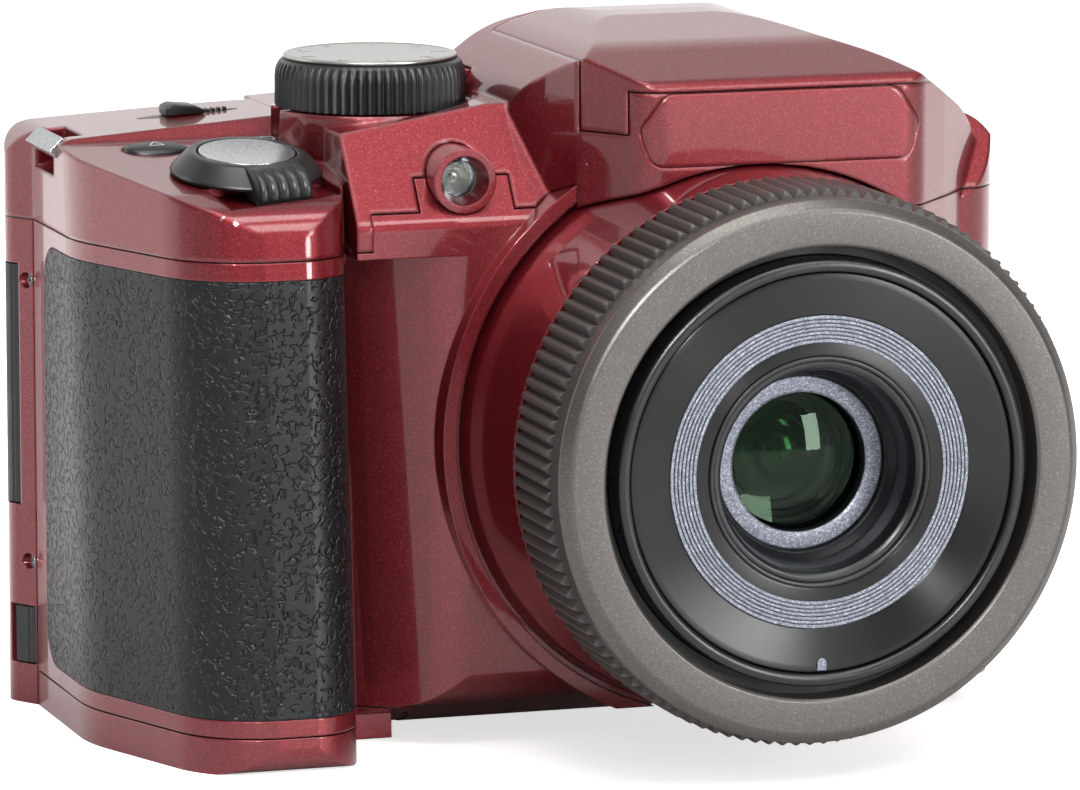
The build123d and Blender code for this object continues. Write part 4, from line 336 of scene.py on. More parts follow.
def dark_element():
    """The inner lens group: nearly black glass, with faint green concentric rings painted on as
    reflections.
    """
    material, tree, shader = new_material("inner_lens_glass")
    reach = radial_reach(tree, ("X", 0.0), ("Z", LENS_HEIGHT))
    rings = add(tree, "ShaderNodeMath", operation="SINE")
    scaled = add(tree, "ShaderNodeMath", operation="MULTIPLY", links=[(0, reach)])
    scaled.inputs[1].default_value = 2 * math.pi / (REFLECTION_RING_PITCH * MM)
    tree.links.new(scaled.outputs[0], rings.inputs[0])
    # Painted reflection: faint green rings in the base colour, spaced evenly out from the lens's
    # axis.
    colour = colour_steps(tree, spread(tree, rings.outputs[0], 0.7, 1.0), [
        (0.0, srgb("#020302")),
        (1.0, srgb("#0A1A0F")),
    ])
    tree.links.new(colour, shader.inputs["Base Color"])
    set_shader(shader, Roughness=0.05, Specular_IOR_Level=0.25, Specular_Tint=srgb("#7CE890"))
    return material


def metallic_paint(name, dark, middle, light, roughness, metallic,
                   size=0.12, depth=0.0015, light_from=0.9):
    """Metallic paint with fine flakes, of which the brightest few show."""
    material, tree, shader = new_material(name)
    glint = flakes(tree, size)
    colour = colour_steps(tree, glint["Red"], [
        (0.0, srgb(dark)),
        (light_from, srgb(middle)),
        (1.0, srgb(light)),
    ])
    tree.links.new(colour, shader.inputs["Base Color"])
    tilt = grain_bump(tree, glint["Green"], depth, rounded_edge(tree, 0.12))
    tree.links.new(tilt, shader.inputs["Normal"])
    set_shader(shader, Metallic=metallic, Roughness=roughness)
    return material


def satin_gunmetal():
    """Warm grey metallic paint on the front ring."""
    return metallic_paint("gunmetal_paint", "#56524F", "#625E5B", "#78736F", 0.36, 0.7)


def sparkle_grey():
    """Grey metallic paint on the ribbed ring and the annulus: more of the flakes show."""
    return metallic_paint("sparkle_grey_paint", "#5C5F69", "#858995", "#B4B8C4", 0.45, 0.5,
                          size=0.14, depth=0.006, light_from=0.75)


FACE_GRAIN = 0.16


def satin_black_face():
    """Satin black paint on a turned face: highlights stretch outward from the lens's axis."""
    material, tree, shader = new_material("satin_black_paint")
    points = object_points(tree)
    noise = add(tree, "ShaderNodeTexNoise", links=[("Vector", points)],
                Scale=cells_per_metre(FACE_GRAIN), Detail=3.0)
    colour = colour_steps(tree, noise.outputs["Fac"], [
        (0.35, srgb("#060708")),
        (0.75, srgb("#0E0F11")),
    ])
    tree.links.new(colour, shader.inputs["Base Color"])
    bump = grain_bump(tree, noise.outputs["Fac"], 0.003, rounded_edge(tree, 0.15))
    tree.links.new(bump, shader.inputs["Normal"])
    centre = add(tree, "ShaderNodeVectorMath", operation="SUBTRACT", links=[(0, points)])
    centre.inputs[1].default_value = (0.0, 0.0, LENS_HEIGHT * MM)
    outward = add(tree, "ShaderNodeVectorMath", operation="MULTIPLY",
                  links=[(0, centre.outputs["Vector"])])
    outward.inputs[1].default_value = (1.0, 0.0, 1.0)
    tangent = add(tree, "ShaderNodeVectorMath", operation="NORMALIZE",
                  links=[(0, outward.outputs["Vector"])])
    tree.links.new(tangent.outputs["Vector"], shader.inputs["Tangent"])
    set_shader(shader, Roughness=0.3, Anisotropic=0.9, Specular_IOR_Level=0.45)
    return material


def give(material, *names):
    """A carried-over solid keeps its shape and takes this finish."""
    for name in names:
        for slot in NODES[name].material_slots:
            slot.material = material


def finish_solids(red):
    give(red, "front_cover", "rear_cover", "battery_door", "lamp_collar", "flash_release")
    give(pearl_red_lacquer("pearl_red_lacquer_hump", 0.7), "top_cover", "flash_hood", "front_plate")
    give(grained_rubber(), "grip_rubber", "thumb_rest")
    give(moulded_plastic("flap_rubber", "#232325", 0.55), "usb_flap", "dc_flap")
    give(turned_silver(), "strap_bars", "dial_cap", "shutter_button")
    give(moulded_plastic("black_button", "#1D1D1F", 0.4), "video_button", "four_way_pad",
         "set_button", "rear_button_1", "rear_button_2", "rear_button_3", "rear_button_4")
    give(moulded_plastic("bare_steel", "#8E9093", 0.3, 1.0), "case_screws", "zoom_motor",
         "hinge_pin", "usb_port", "door_contacts", "battery_contacts")
    give(moulded_plastic("black_trim", "#1B1B1D", 0.48), "dc_jack", "battery_latch", "sd_card",
         "speaker")
    give(clear_pane("clear_acrylic", "#E6EEF2"), "lamp_window", "flash_window", "flash_tube")
    give(moulded_plastic("grey_nylon", "#2E2F31", 0.55), "lens_tube", "lens_base", "flash_case",
         "lcd_panel", "battery_box", "chassis")
    give(coated_glass("coated_glass", "#C8D8CA"), "focus_glass", "front_glass")
    give(moulded_plastic("screen_glass", "#08090A", 0.05, depth=0.0), "image_sensor", "lcd_window")
    give(moulded_plastic("cell_sleeve", "#3E5C8A", 0.35), "flash_capacitor", "aa_cells")
    give(moulded_plastic("circuit_board", "#1F5A38", 0.45), "key_board", "main_board")
    give(moulded_plastic("turned_brass", "#B08A4A", 0.3, 1.0), "tripod_bush")


# Meshes

SHARP_ANGLE = 32.0

LENS_AXIS = Matrix.Translation((0, 0, LENS_HEIGHT)) @ Matrix.Rotation(math.radians(90), 4, "X")
DIAL_AXIS = Matrix.Translation((DIAL_X, DIAL_Y, 0))


def new_piece(name, mesh, material, body):
    """A mesh piece that rides on a body and takes the finish it is given."""
    mesh.shade_smooth()
    mesh.set_sharp_from_angle(angle=math.radians(SHARP_ANGLE))
    mesh.materials.clear()
    mesh.materials.append(material)
    piece = bpy.data.objects.new(name, mesh)
    bpy.context.scene.collection.objects.link(piece)
    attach(piece, body)
    return piece


def finish_mesh(name, form, place):
    """Closes, places and scales a bmesh drawn in millimetres, and makes it a mesh in metres."""
    bmesh.ops.remove_doubles(form, verts=form.verts, dist=0.0005)
    bmesh.ops.dissolve_degenerate(form, edges=form.edges, dist=0.0005)
    bmesh.ops.recalc_face_normals(form, faces=form.faces)
    bmesh.ops.transform(form, matrix=Matrix.Scale(MM, 4) @ place, verts=form.verts)
    mesh = bpy.data.meshes.new(name)
    form.to_mesh(mesh)
    form.free()
    return mesh


def turned_mesh(name, outline, place, steps=256):
    """A closed outline of (radius, rise) points, turned about its axis."""
    form = bmesh.new()
    rings = []
    for step in range(steps):
        angle = 2 * math.pi * step / steps
        ring = [form.verts.new((radius * math.cos(angle), radius * math.sin(angle), rise))
                for radius, rise in outline]
        rings.append(ring)
    for index, ring in enumerate(rings):
        following = rings[(index + 1) % steps]
        for first in range(len(outline)):
            second = (first + 1) % len(outline)
            form.faces.new((ring[first], ring[second], following[second], following[first]))
    return finish_mesh(name, form, place)


def close_between(form, first, second):
    """Closes a straight wall between two like loops of points, and caps both."""
    form.faces.new(first)
    form.faces.new(second)
    for index in range(len(first)):
        after = (index + 1) % len(first)
        form.faces.new((first[index], first[after], second[after], second[index]))


def prism(outline, low, high):
    """An upright block with a flat outline."""
    form = bmesh.new()
    lower = [form.verts.new((x, y, low)) for x, y in outline]
    upper = [form.verts.new((x, y, high)) for x, y in outline]
    close_between(form, lower, upper)
    return form


def rounded_outline(corners, steps=4):
    """Rounds the corners of a closed outline, given as (radius, rise, rounding)."""
    outline = []
    count = len(corners)
    for index, (radius, rise, rounding) in enumerate(corners):
        here = Vector((radius, rise))
        if rounding == 0:
            outline.append(tuple(here))
            continue
        before = Vector(corners[index - 1][:2])
        after = Vector(corners[(index + 1) % count][:2])
        start = here + (before - here).normalized() * rounding
        end = here + (after - here).normalized() * rounding
        for step in range(steps + 1):
            share = step / steps
            point = start.lerp(here, share).lerp(here.lerp(end, share), share)
            outline.append(tuple(point))
    return outline


def tree_input(tree, name, kind, value=None):
    socket = tree.interface.new_socket(name, in_out="INPUT", socket_type=kind)
    if value is not None:
        socket.default_value = value
    return socket.identifier


def fluted_tree():
    """Cuts pointed grooves along a turned drum, by drawing its skin in towards the Z axis."""
    tree = bpy.data.node_groups.new("cut_flutes", "GeometryNodeTree")
    tree.interface.new_socket("Geometry", in_out="INPUT", socket_type="NodeSocketGeometry")
    tree_input(tree, "Flutes", "NodeSocketFloat")
    tree_input(tree, "Crest Radius", "NodeSocketFloat")
    tree_input(tree, "Depth", "NodeSocketFloat")
    tree_input(tree, "Crest Width", "NodeSocketFloat")
    tree_input(tree, "Material", "NodeSocketMaterial")
    tree.interface.new_socket("Geometry", in_out="OUTPUT", socket_type="NodeSocketGeometry")
    start = add(tree, "NodeGroupInput").outputs

    def maths(operation, first, second=None, third=None):
        node = add(tree, "ShaderNodeMath", operation=operation)
        for socket, value in zip(node.inputs, (first, second, third)):
            if value is None:
                continue
            if isinstance(value, (int, float)):
                socket.default_value = value
            else:
                tree.links.new(value, socket)
        return node.outputs[0]

    place = add(tree, "GeometryNodeInputPosition").outputs["Position"]
    parts = add(tree, "ShaderNodeSeparateXYZ", links=[("Vector", place)]).outputs
    angle = maths("ARCTAN2", parts["Y"], parts["X"])
    turns = maths("DIVIDE", angle, 2 * math.pi)
    wave = maths("PINGPONG", maths("MULTIPLY", maths("MULTIPLY", turns, start["Flutes"]), 2.0), 1.0)
    slope = maths("DIVIDE", maths("SUBTRACT", wave, start["Crest Width"]),
                  maths("SUBTRACT", 1.0, start["Crest Width"]))
    groove = maths("MULTIPLY", maths("MAXIMUM", slope, 0.0), start["Depth"])
    limit = maths("SUBTRACT", start["Crest Radius"], groove)
    flat = add(tree, "ShaderNodeCombineXYZ", links=[("X", parts["X"]), ("Y", parts["Y"])])
    length = add(tree, "ShaderNodeVectorMath", operation="LENGTH",
                 links=[(0, flat.outputs["Vector"])])
    radius = length.outputs["Value"]
    share = maths("DIVIDE", maths("MINIMUM", radius, limit), maths("MAXIMUM", radius, 0.000001))
    drawn = add(tree, "ShaderNodeCombineXYZ", links=[
        ("X", maths("MULTIPLY", parts["X"], share)),
        ("Y", maths("MULTIPLY", parts["Y"], share)),
        ("Z", parts["Z"]),
    ]).outputs["Vector"]
    moved = add(tree, "GeometryNodeSetPosition",
                links=[("Geometry", start["Geometry"]), ("Position", drawn)])
    real = add(tree, "GeometryNodeRealizeInstances",
               links=[("Geometry", moved.outputs["Geometry"])])
    painted = add(tree, "GeometryNodeSetMaterial",
                  links=[("Geometry", real.outputs["Geometry"]), ("Material", start["Material"])])
    add(tree, "NodeGroupOutput", links=[("Geometry", painted.outputs["Geometry"])])
    return tree


def run_tree(mesh, tree, values):
    """Runs a Geometry Nodes tree on a mesh and returns the result as a plain mesh."""
    carrier = bpy.data.objects.new(mesh.name + "_carrier", mesh)
    bpy.context.scene.collection.objects.link(carrier)
    modifier = carrier.modifiers.new("shape", "NODES")
    modifier.node_group = tree
    for item in tree.interface.items_tree:
        if item.item_type == "SOCKET" and item.in_out == "INPUT" and item.name in values:
            modifier[item.identifier] = values[item.name]
    evaluated = carrier.evaluated_get(bpy.context.evaluated_depsgraph_get())
    result = bpy.data.meshes.new_from_object(evaluated)
    carrier.modifiers.remove(modifier)
    bpy.data.objects.remove(carrier)
    return result


FLUTE_STEPS = 8


def fluted_drum(name, corners, place, flutes, crest, depth, crest_width, material):
    """A drum turned from an outline, with flutes cut into its side."""
    outline = rounded_outline(corners)
    steps = flutes * FLUTE_STEPS
    mesh = turned_mesh(name, outline, Matrix.Identity(4), steps)
    values = {
        "Flutes": float(flutes),
        "Crest Radius": crest * MM,
        "Depth": depth * MM,
        "Crest Width": crest_width,
        "Material": material,
    }
    fluted = run_tree(mesh, fluted_tree(), values)
    fluted.transform(Matrix.Scale(MM, 4) @ place @ Matrix.Scale(1 / MM, 4))
    fluted.name = name
    return fluted


# Lens

RIB_OUTER = 18.6
RIB_INNER = 15.4
RIB_GROOVES = 6
GROOVE_WIDTH = 0.13
GROOVE_DEPTH = 0.2
GROOVE_EDGE = 0.03
RIB_STAND = 0.12
FACE_RISE = 58.5
FACE_SEAT = 0.1
KNURL_RIDGES = 120
KNURL_RADIUS = 33.3
KNURL_DEPTH = 1.1
KNURL_CREST = 0.2
INDEX_HALF_WIDTH = 0.55
INDEX_CENTRE = -22.6
INDEX_FOOT = -23.5
INDEX_LOW = 59.2
INDEX_HIGH = 59.55
INDEX_STEPS = 12


def make_lens():
    gunmetal = satin_gunmetal()
    black = satin_black_face()
    grey = sparkle_grey()
    trim = moulded_plastic("satin_black_trim", "#161719", 0.3)
    make_front_ring(gunmetal)
    make_knurled_ring(moulded_plastic("knurled_grey_plastic", "#45413E", 0.46))
    make_outer_barrel(trim)
    make_inner_barrel(black, trim)
    make_ribbed_ring(grey)
    make_index_mark(grey)
    make_front_cell(trim, grey)
    make_lens_group()


def make_front_ring(material):
    """The painted ring round the mouth, with a bright bevel at its edge."""
    corners = [
        (26.9, 56.0, 0), (32.4, 56.0, 0), (32.4, 58.7, 0.25), (31.3, 59.85, 0.25),
        (30.9, 60.0, 0.1), (27.2, 60.0, 0.15), (26.9, 59.7, 0),
    ]
    mesh = turned_mesh("front_ring_painted", rounded_outline(corners), LENS_AXIS)
    piece = new_piece("front_ring_painted", mesh, material, "camera_body")
    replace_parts(piece, "front_ring")


def make_knurled_ring(material):
    """The ring of pointed ridges behind the painted one."""
    corners = [
        (29.3, 43.7, 0), (33.0, 43.7, 0), (KNURL_RADIUS, 44.2, 0),
        (KNURL_RADIUS, 55.6, 0), (32.9, 56.0, 0), (29.3, 56.0, 0),
    ]
    mesh = fluted_drum("knurled_grip_ring", corners, LENS_AXIS, KNURL_RIDGES, KNURL_RADIUS,
                       KNURL_DEPTH, KNURL_CREST, material)
    piece = new_piece("knurled_grip_ring", mesh, material, "camera_body")
    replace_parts(piece, "knurled_ring")


def make_outer_barrel(material):
    """The outer sliding tube, with a rounded lip that catches the light."""
    corners = [(23.9, 24.0, 0), (25.4, 24.0, 0), (25.4, 60.0, 0.75), (23.9, 60.0, 0.6)]
    mesh = turned_mesh("outer_barrel_tube", rounded_outline(corners), LENS_AXIS)
    piece = new_piece("outer_barrel_tube", mesh, material, "outer_barrel")
    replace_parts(piece, "outer_barrel")


def make_inner_barrel(face, trim):
    """The sloping black face and the tube behind it."""
    corners = [
        (22.18, 27.4, 0), (23.78, 27.4, 0), (23.78, 59.35, 0.3), (23.0, 59.35, 0.15),
        (RIB_OUTER + FACE_SEAT, FACE_RISE + 0.05, 0.1), (RIB_OUTER, FACE_RISE - FACE_SEAT, 0),
        (RIB_INNER, FACE_RISE - FACE_SEAT, 0), (RIB_INNER, FACE_RISE, 0.05), (13.9, FACE_RISE, 0.15),
        (13.2, 58.1, 0), (13.2, 47.5, 0), (14.8, 47.5, 0), (14.8, 57.0, 0), (22.18, 57.0, 0),
    ]
    mesh = turned_mesh("inner_barrel_face", rounded_outline(corners), LENS_AXIS)
    piece = new_piece("inner_barrel_face", mesh, face, "inner_barrel")
    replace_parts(piece, "inner_barrel")
    rim = [
        (13.15, 58.0, 0), (13.75, 58.35, 0.15), (13.75, 58.75, 0.2), (13.25, 58.75, 0.2),
        (13.05, 58.2, 0),
    ]
    mesh = turned_mesh("mouth_rim", rounded_outline(rim), LENS_AXIS)
    new_piece("mouth_rim", mesh, trim, "inner_barrel")


def make_ribbed_ring(material):
    """The grey ring with thin round grooves."""
    pitch = (RIB_OUTER - RIB_INNER) / (RIB_GROOVES + 1)
    top = FACE_RISE + RIB_STAND
    outline = [(RIB_OUTER, FACE_RISE - FACE_SEAT)]
    for index in range(RIB_GROOVES + 1):
        outer = RIB_OUTER - pitch * index - (GROOVE_WIDTH / 2 if index else 0)
        inner = RIB_OUTER - pitch * (index + 1) + (GROOVE_WIDTH / 2 if index < RIB_GROOVES else 0)
        outline += [
            (outer, top - GROOVE_EDGE),
            (outer - GROOVE_EDGE, top),
            (inner + GROOVE_EDGE, top),
            (inner, top - GROOVE_EDGE),
        ]
        if index < RIB_GROOVES:
            outline += [(inner, top - GROOVE_DEPTH), (inner - GROOVE_WIDTH, top - GROOVE_DEPTH)]
    outline.append((RIB_INNER, FACE_RISE - FACE_SEAT))
    mesh = turned_mesh("ribbed_ring", outline, LENS_AXIS)
    new_piece("ribbed_ring", mesh, material, "inner_barrel")


def make_index_mark(material):
    """A small rounded mark under the face that shows which way is down."""
    outline = []
    for step in range(INDEX_STEPS + 1):
        angle = math.pi * step / INDEX_STEPS
        outline.append((INDEX_HALF_WIDTH * math.cos(angle),
                        INDEX_CENTRE + INDEX_HALF_WIDTH * math.sin(angle)))
    outline += [(-INDEX_HALF_WIDTH, INDEX_FOOT), (INDEX_HALF_WIDTH, INDEX_FOOT)]
    mesh = finish_mesh("index_mark", prism(outline, INDEX_LOW, INDEX_HIGH), LENS_AXIS)
    new_piece("index_mark", mesh, material, "inner_barrel")


def make_front_cell(trim, grey):
    """The stepped black recess and the grey annulus round the front glass."""
    corners = [
        (8.38, 47.6, 0), (8.38, 51.1, 0), (10.5, 51.1, 0), (10.7, 52.4, 0.1), (11.6, 53.4, 0.2),
        (11.8, 56.2, 0.1), (12.2, 57.9, 0.1), (12.6, 58.2, 0.1), (13.1, 58.2, 0), (13.1, 47.0, 0),
        (7.7, 47.0, 0), (7.7, 47.6, 0),
    ]
    mesh = turned_mesh("front_cell_recess", rounded_outline(corners), LENS_AXIS)
    piece = new_piece("front_cell_recess", mesh, trim, "inner_barrel")
    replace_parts(piece, "front_cell")
    annulus = [
        (8.36, 51.0, 0), (8.36, 51.25, 0.08), (8.7, 51.45, 0.1), (10.3, 51.45, 0.1), (10.5, 51.0, 0),
    ]
    mesh = turned_mesh("front_annulus", rounded_outline(annulus), LENS_AXIS)
    new_piece("front_annulus", mesh, grey, "inner_barrel")


LENS_DOMES = (("inner_lens", 5.35, 41.7, 2.6), ("second_lens", 3.0, 43.7, 1.6))
DOME_STEPS = 16


def make_lens_group():
    """The blackened steps and the inner glass that show through the front glass."""
    steps = [
        (7.6, 46.8), (7.6, 46.0), (6.9, 46.0), (6.9, 44.6),
        (6.2, 44.6), (6.2, 43.0), (5.4, 43.0), (5.4, 41.6),
    ]
    outline = steps + [(0.0, 41.6), (0.0, 40.6), (8.6, 40.6), (8.6, 46.8)]
    mesh = turned_mesh("lens_baffle", outline, LENS_AXIS, 96)
    blackening = moulded_plastic("lens_blackening", "#060606", 0.6)
    new_piece("lens_baffle", mesh, blackening, "inner_barrel")
    glass = dark_element()
    for name, radius, base, rise in LENS_DOMES:
        dome = [(0.0, base), (radius, base)]
        for step in range(1, DOME_STEPS + 1):
            angle = math.pi / 2 * step / DOME_STEPS
            dome.append((radius * math.cos(angle), base + rise * math.sin(angle)))
        dome[-1] = (0.0, dome[-1][1])
        new_piece(name, turned_mesh(name, dome, LENS_AXIS, 96), glass, "inner_barrel")


# Controls on top

DIAL_FLUTES = 64
DIAL_RADIUS = 11.65
FLUTE_DEPTH = 0.6
FLUTE_CREST = 0.1
MARK_HEIGHT = 0.03
NUMBER_COUNT = 9
NUMBER_SIZE = 2.5
NUMBER_REACH = 8.4
NUMBER_RISE = 82.17


def tilted(place, slope):
    """A frame on a sloping surface: its Z is the surface's normal."""
    return Matrix.Translation(place) @ Matrix.Rotation(slope, 4, "X")


def make_dial(black, silver, pale):
    """The fluted drum, its lip and shaft, and the printed cap."""
    corners = [
        (0.0, 66.9, 0), (3.0, 66.9, 0), (3.0, 75.9, 0), (12.0, 75.9, 0.1), (12.0, 76.5, 0.2),
        (DIAL_RADIUS, 76.8, 0), (DIAL_RADIUS, 81.7, 2.2), (10.62, 81.9, 0), (10.62, 81.2, 0),
        (0.0, 81.2, 0),
    ]
    mesh = fluted_drum("dial_drum", corners, DIAL_AXIS, DIAL_FLUTES, DIAL_RADIUS,
                       FLUTE_DEPTH, FLUTE_CREST, black)
    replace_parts(new_piece("dial_drum", mesh, black, "mode_dial"), "mode_dial")
    disc = [
        (0.0, 81.3, 0), (10.6, 81.3, 0), (10.6, 82.1, 0.12), (10.15, 82.25, 0.1),
        (9.95, 82.12, 0.05), (0.0, 82.22, 0),
    ]
    mesh = turned_mesh("dial_disc", rounded_outline(disc), DIAL_AXIS)
    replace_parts(new_piece("dial_disc", mesh, silver, "mode_dial"), "dial_cap")
    make_dial_marks(pale)


def make_dial_marks(pale):
    """Plain numbers printed round the edge of the dial's disc."""
    marks = bmesh.new()
    for index in range(NUMBER_COUNT):
        text = bpy.data.curves.new("number", "FONT")
        text.body = str(index + 1)
        text.align_x = "CENTER"
        text.align_y = "CENTER"
        text.size = NUMBER_SIZE
        text.extrude = MARK_HEIGHT / 2
        letter = bpy.data.objects.new("number", text)
        bpy.context.scene.collection.objects.link(letter)
        evaluated = letter.evaluated_get(bpy.context.evaluated_depsgraph_get())
        shape = bpy.data.meshes.new_from_object(evaluated)
        turn = Matrix.Rotation(2 * math.pi * index / NUMBER_COUNT, 4, "Z")
        shape.transform(turn @ Matrix.Translation((0, -NUMBER_REACH, NUMBER_RISE)))
        marks.from_mesh(shape)
        bpy.data.objects.remove(letter)
        bpy.data.meshes.remove(shape)
    mesh = finish_mesh("dial_numbers", marks, DIAL_AXIS)
    new_piece("dial_numbers", mesh, pale, "mode_dial")


def make_lever(black):
    """The cone-sided ring round the shutter button, and its ribbed finger tab."""
    frame_place = tilted(SHUTTER_PLACE, DECK_SLOPE_SIDE)
    corners = [
        (2.2, -3.4, 0), (4.2, -3.4, 0), (4.2, 0.25, 0), (9.2, 0.25, 0.3), (9.1, 0.75, 0.3),
        (7.1, 2.85, 0.5), (6.05, 2.85, 0.15), (6.05, 0.7, 0), (2.2, 0.7, 0),
    ]
    mesh = turned_mesh("lever_ring", rounded_outline(corners), frame_place)
    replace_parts(new_piece("lever_ring", mesh, black, "zoom_lever"), "zoom_lever")
    turned_place = frame_place @ Matrix.Rotation(math.radians(TAB_TURN), 4, "Z")
    tab = finish_mesh("lever_tab", ribbed_tab(), turned_place)
    new_piece("lever_tab", tab, black, "zoom_lever")


TAB_TURN = 12.0
TAB_HALF = 3.6
TAB_RIBS = 5
RIB_STEPS = 12
RIB_DEPTH = 0.42
TAB_END_DEPTH = 0.6
# Each row is a reach, a rise and the share of a rib's depth that it takes.
TAB_PROFILE = (
    (-6.0, 2.7, 0.0), (-7.0, 2.85, 0.1), (-8.4, 2.7, 0.4), (-9.6, 2.2, 0.9),
    (-10.35, 1.5, 1.0), (-10.75, 0.6, 1.0), (-10.8, -0.3, 1.0), (-10.6, -0.85, 0.6),
    (-10.0, -0.95, 0.0), (-6.4, -0.6, 0.0),
)


def ribbed_tab():
    """A tab whose front edge rolls down, with upright ribs across its width."""
    form = bmesh.new()
    steps = TAB_RIBS * RIB_STEPS
    rows = []
    for step in range(steps + 1):
        across = -1 + 2 * step / steps
        rib = abs(math.sin(math.pi * TAB_RIBS * step / steps)) ** 0.6 - 1
        end = math.sqrt(max(0.0, 1 - max(0.0, (abs(across) - 0.9) / 0.1) ** 2))
        row = []
        for reach, rise, share in TAB_PROFILE:
            depth = RIB_DEPTH * rib * share - TAB_END_DEPTH * (1 - end)
            lift = 0.5 * depth * share
            row.append(form.verts.new((across * TAB_HALF, reach - depth, rise + lift)))
        rows.append(row)
    for first, second in zip(rows, rows[1:]):
        for index in range(len(TAB_PROFILE)):
            after = (index + 1) % len(TAB_PROFILE)
            form.faces.new((first[index], first[after], second[after], second[index]))
    form.faces.new(rows[0])
    form.faces.new(rows[-1])
    return form


OVAL_HALF_LENGTH = 4.0
OVAL_HALF_WIDTH = 2.5
OVAL_RISE = 0.75
OVAL_FOOT = -3.4
OVAL_SHOULDER = 0.12
OVAL_TOP_SHARE = 0.97
OVAL_STEPS = 72
OVAL_RINGS = 8


def domed_oval(name, place, material, node, body):
    """An oval button with a domed top."""
    form = bmesh.new()
    rings = [(1.0, OVAL_FOOT), (1.0, -0.05), (OVAL_TOP_SHARE, OVAL_SHOULDER)]
    for step in range(1, OVAL_RINGS):
        angle = math.pi / 2 * step / OVAL_RINGS
        height = OVAL_SHOULDER + (OVAL_RISE - OVAL_SHOULDER) * math.sin(angle)
        rings.append((OVAL_TOP_SHARE * math.cos(angle), height))
    loops = []
    for share, height in rings:
        loop = []
        for step in range(OVAL_STEPS):
            angle = 2 * math.pi * step / OVAL_STEPS
            x = OVAL_HALF_LENGTH * share * math.cos(angle)
            y = OVAL_HALF_WIDTH * share * math.sin(angle)
            loop.append(form.verts.new((x, y, height)))
        loops.append(loop)
    peak = form.verts.new((0, 0, OVAL_RISE))
    for index in range(OVAL_STEPS):
        after = (index + 1) % OVAL_STEPS
        for lower, upper in zip(loops, loops[1:]):
            form.faces.new((lower[index], lower[after], upper[after], upper[index]))
        form.faces.new((loops[-1][index], loops[-1][after], peak))
    form.faces.new(loops[0])
    piece = new_piece(name, finish_mesh(name, form, place), material, body)
    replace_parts(piece, node)


def strip_marks(name, place, strips, material, body):
    """Thin printed strips, each a flat bar given as (x, y, length, width, turn, rise)."""
    form = bmesh.new()
    for x, y, length, width, turn, rise in strips:
        size = Matrix.Diagonal((length, width, MARK_HEIGHT * 2, 1))
        spot = Matrix.Translation((x, y, rise)) @ Matrix.Rotation(math.radians(turn), 4, "Z")
        bmesh.ops.create_cube(form, size=1.0, matrix=spot @ size)
    new_piece(name, finish_mesh(name, form, place), material, body)


STROKE = 0.16


def make_top_buttons(black, pale):
    mode_place = tilted(FLASH_MODE_PLACE, DECK_SLOPE_SIDE)
    burst_place = tilted(BURST_PLACE, DECK_SLOPE_SIDE)
    domed_oval("flash_mode_cap", mode_place, black, "flash_mode_button", "flash_mode_button")
    domed_oval("burst_cap", burst_place, black, "burst_button", "burst_button")
    triangle = [
        (0.0, -0.75, 1.9, STROKE, 0, 0.72),
        (-0.45, 0.05, 1.75, STROKE, 60, 0.74),
        (0.45, 0.05, 1.75, STROKE, -60, 0.74),
    ]
    strip_marks("flash_mode_mark", mode_place, triangle, pale, "flash_mode_button")
    frames = [
        (-0.95, 0.0, STROKE, 1.3, 0, 0.73),
        (-0.5, 0.0, STROKE, 1.3, 0, 0.745),
        (0.7, 0.62, 1.6, STROKE, 0, 0.73),
        (0.7, -0.62, 1.6, STROKE, 0, 0.73),
        (1.45, 0.0, STROKE, 1.3, 0, 0.71),
        (-0.05, 0.0, STROKE, 1.3, 0, 0.75),
    ]
    strip_marks("burst_mark", burst_place, frames, pale, "burst_button")


RECESS_STEPS = 32
RECESS_CENTRE = 0.6
RECESS_HALF_LENGTH = 6.4
RECESS_HALF_WIDTH = 1.25
RECESS_LOW = -0.3
RECESS_HIGH = 0.04
KNOB_HALF_WIDTH = 1.8
KNOB_EDGE = 0.28
TAIL_START = 3.1
TAIL_PITCH = 0.75
TAIL_RIBS = 4
TAIL_RIB = (0.36, 1.5, 0.42)
TAIL_NARROWING = 0.22
TAIL_RISE = 0.2


def make_power_slider(black):
    """A wedge-shaped knob with a ribbed tail, in a pointed recess."""
    place = Matrix.Translation(POWER_PLACE) @ Matrix.Rotation(-POWER_SLOPE, 4, "Y")
    recess = prism(recess_outline(), RECESS_LOW, RECESS_HIGH)
    mesh = finish_mesh("slider_recess", recess, place)
    new_piece("slider_recess", mesh, black, "camera_body")
    knob = bmesh.new()
    wedge = [(-2.5, 0.08), (2.5, 0.08), (2.5, 0.5), (1.2, 1.15), (-1.6, 1.6), (-2.5, 1.25)]
    near = [knob.verts.new((x, -KNOB_HALF_WIDTH, z)) for x, z in wedge]
    far = [knob.verts.new((x, KNOB_HALF_WIDTH, z)) for x, z in wedge]
    close_between(knob, near, far)
    bmesh.ops.recalc_face_normals(knob, faces=knob.faces)
    bmesh.ops.bevel(knob, geom=knob.edges, offset=KNOB_EDGE, segments=3, profile=0.6, affect="EDGES")
    length, width, height = TAIL_RIB
    for index in range(TAIL_RIBS):
        spot = Matrix.Translation((TAIL_START + TAIL_PITCH * index, 0, TAIL_RISE))
        size = Matrix.Diagonal((length, width - TAIL_NARROWING * index, height, 1))
        bmesh.ops.create_cube(knob, size=1.0, matrix=spot @ size)
    mesh = finish_mesh("slider_knob", knob, place)
    piece = new_piece("slider_knob", mesh, black, "power_slider")
    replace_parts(piece, "power_slider")


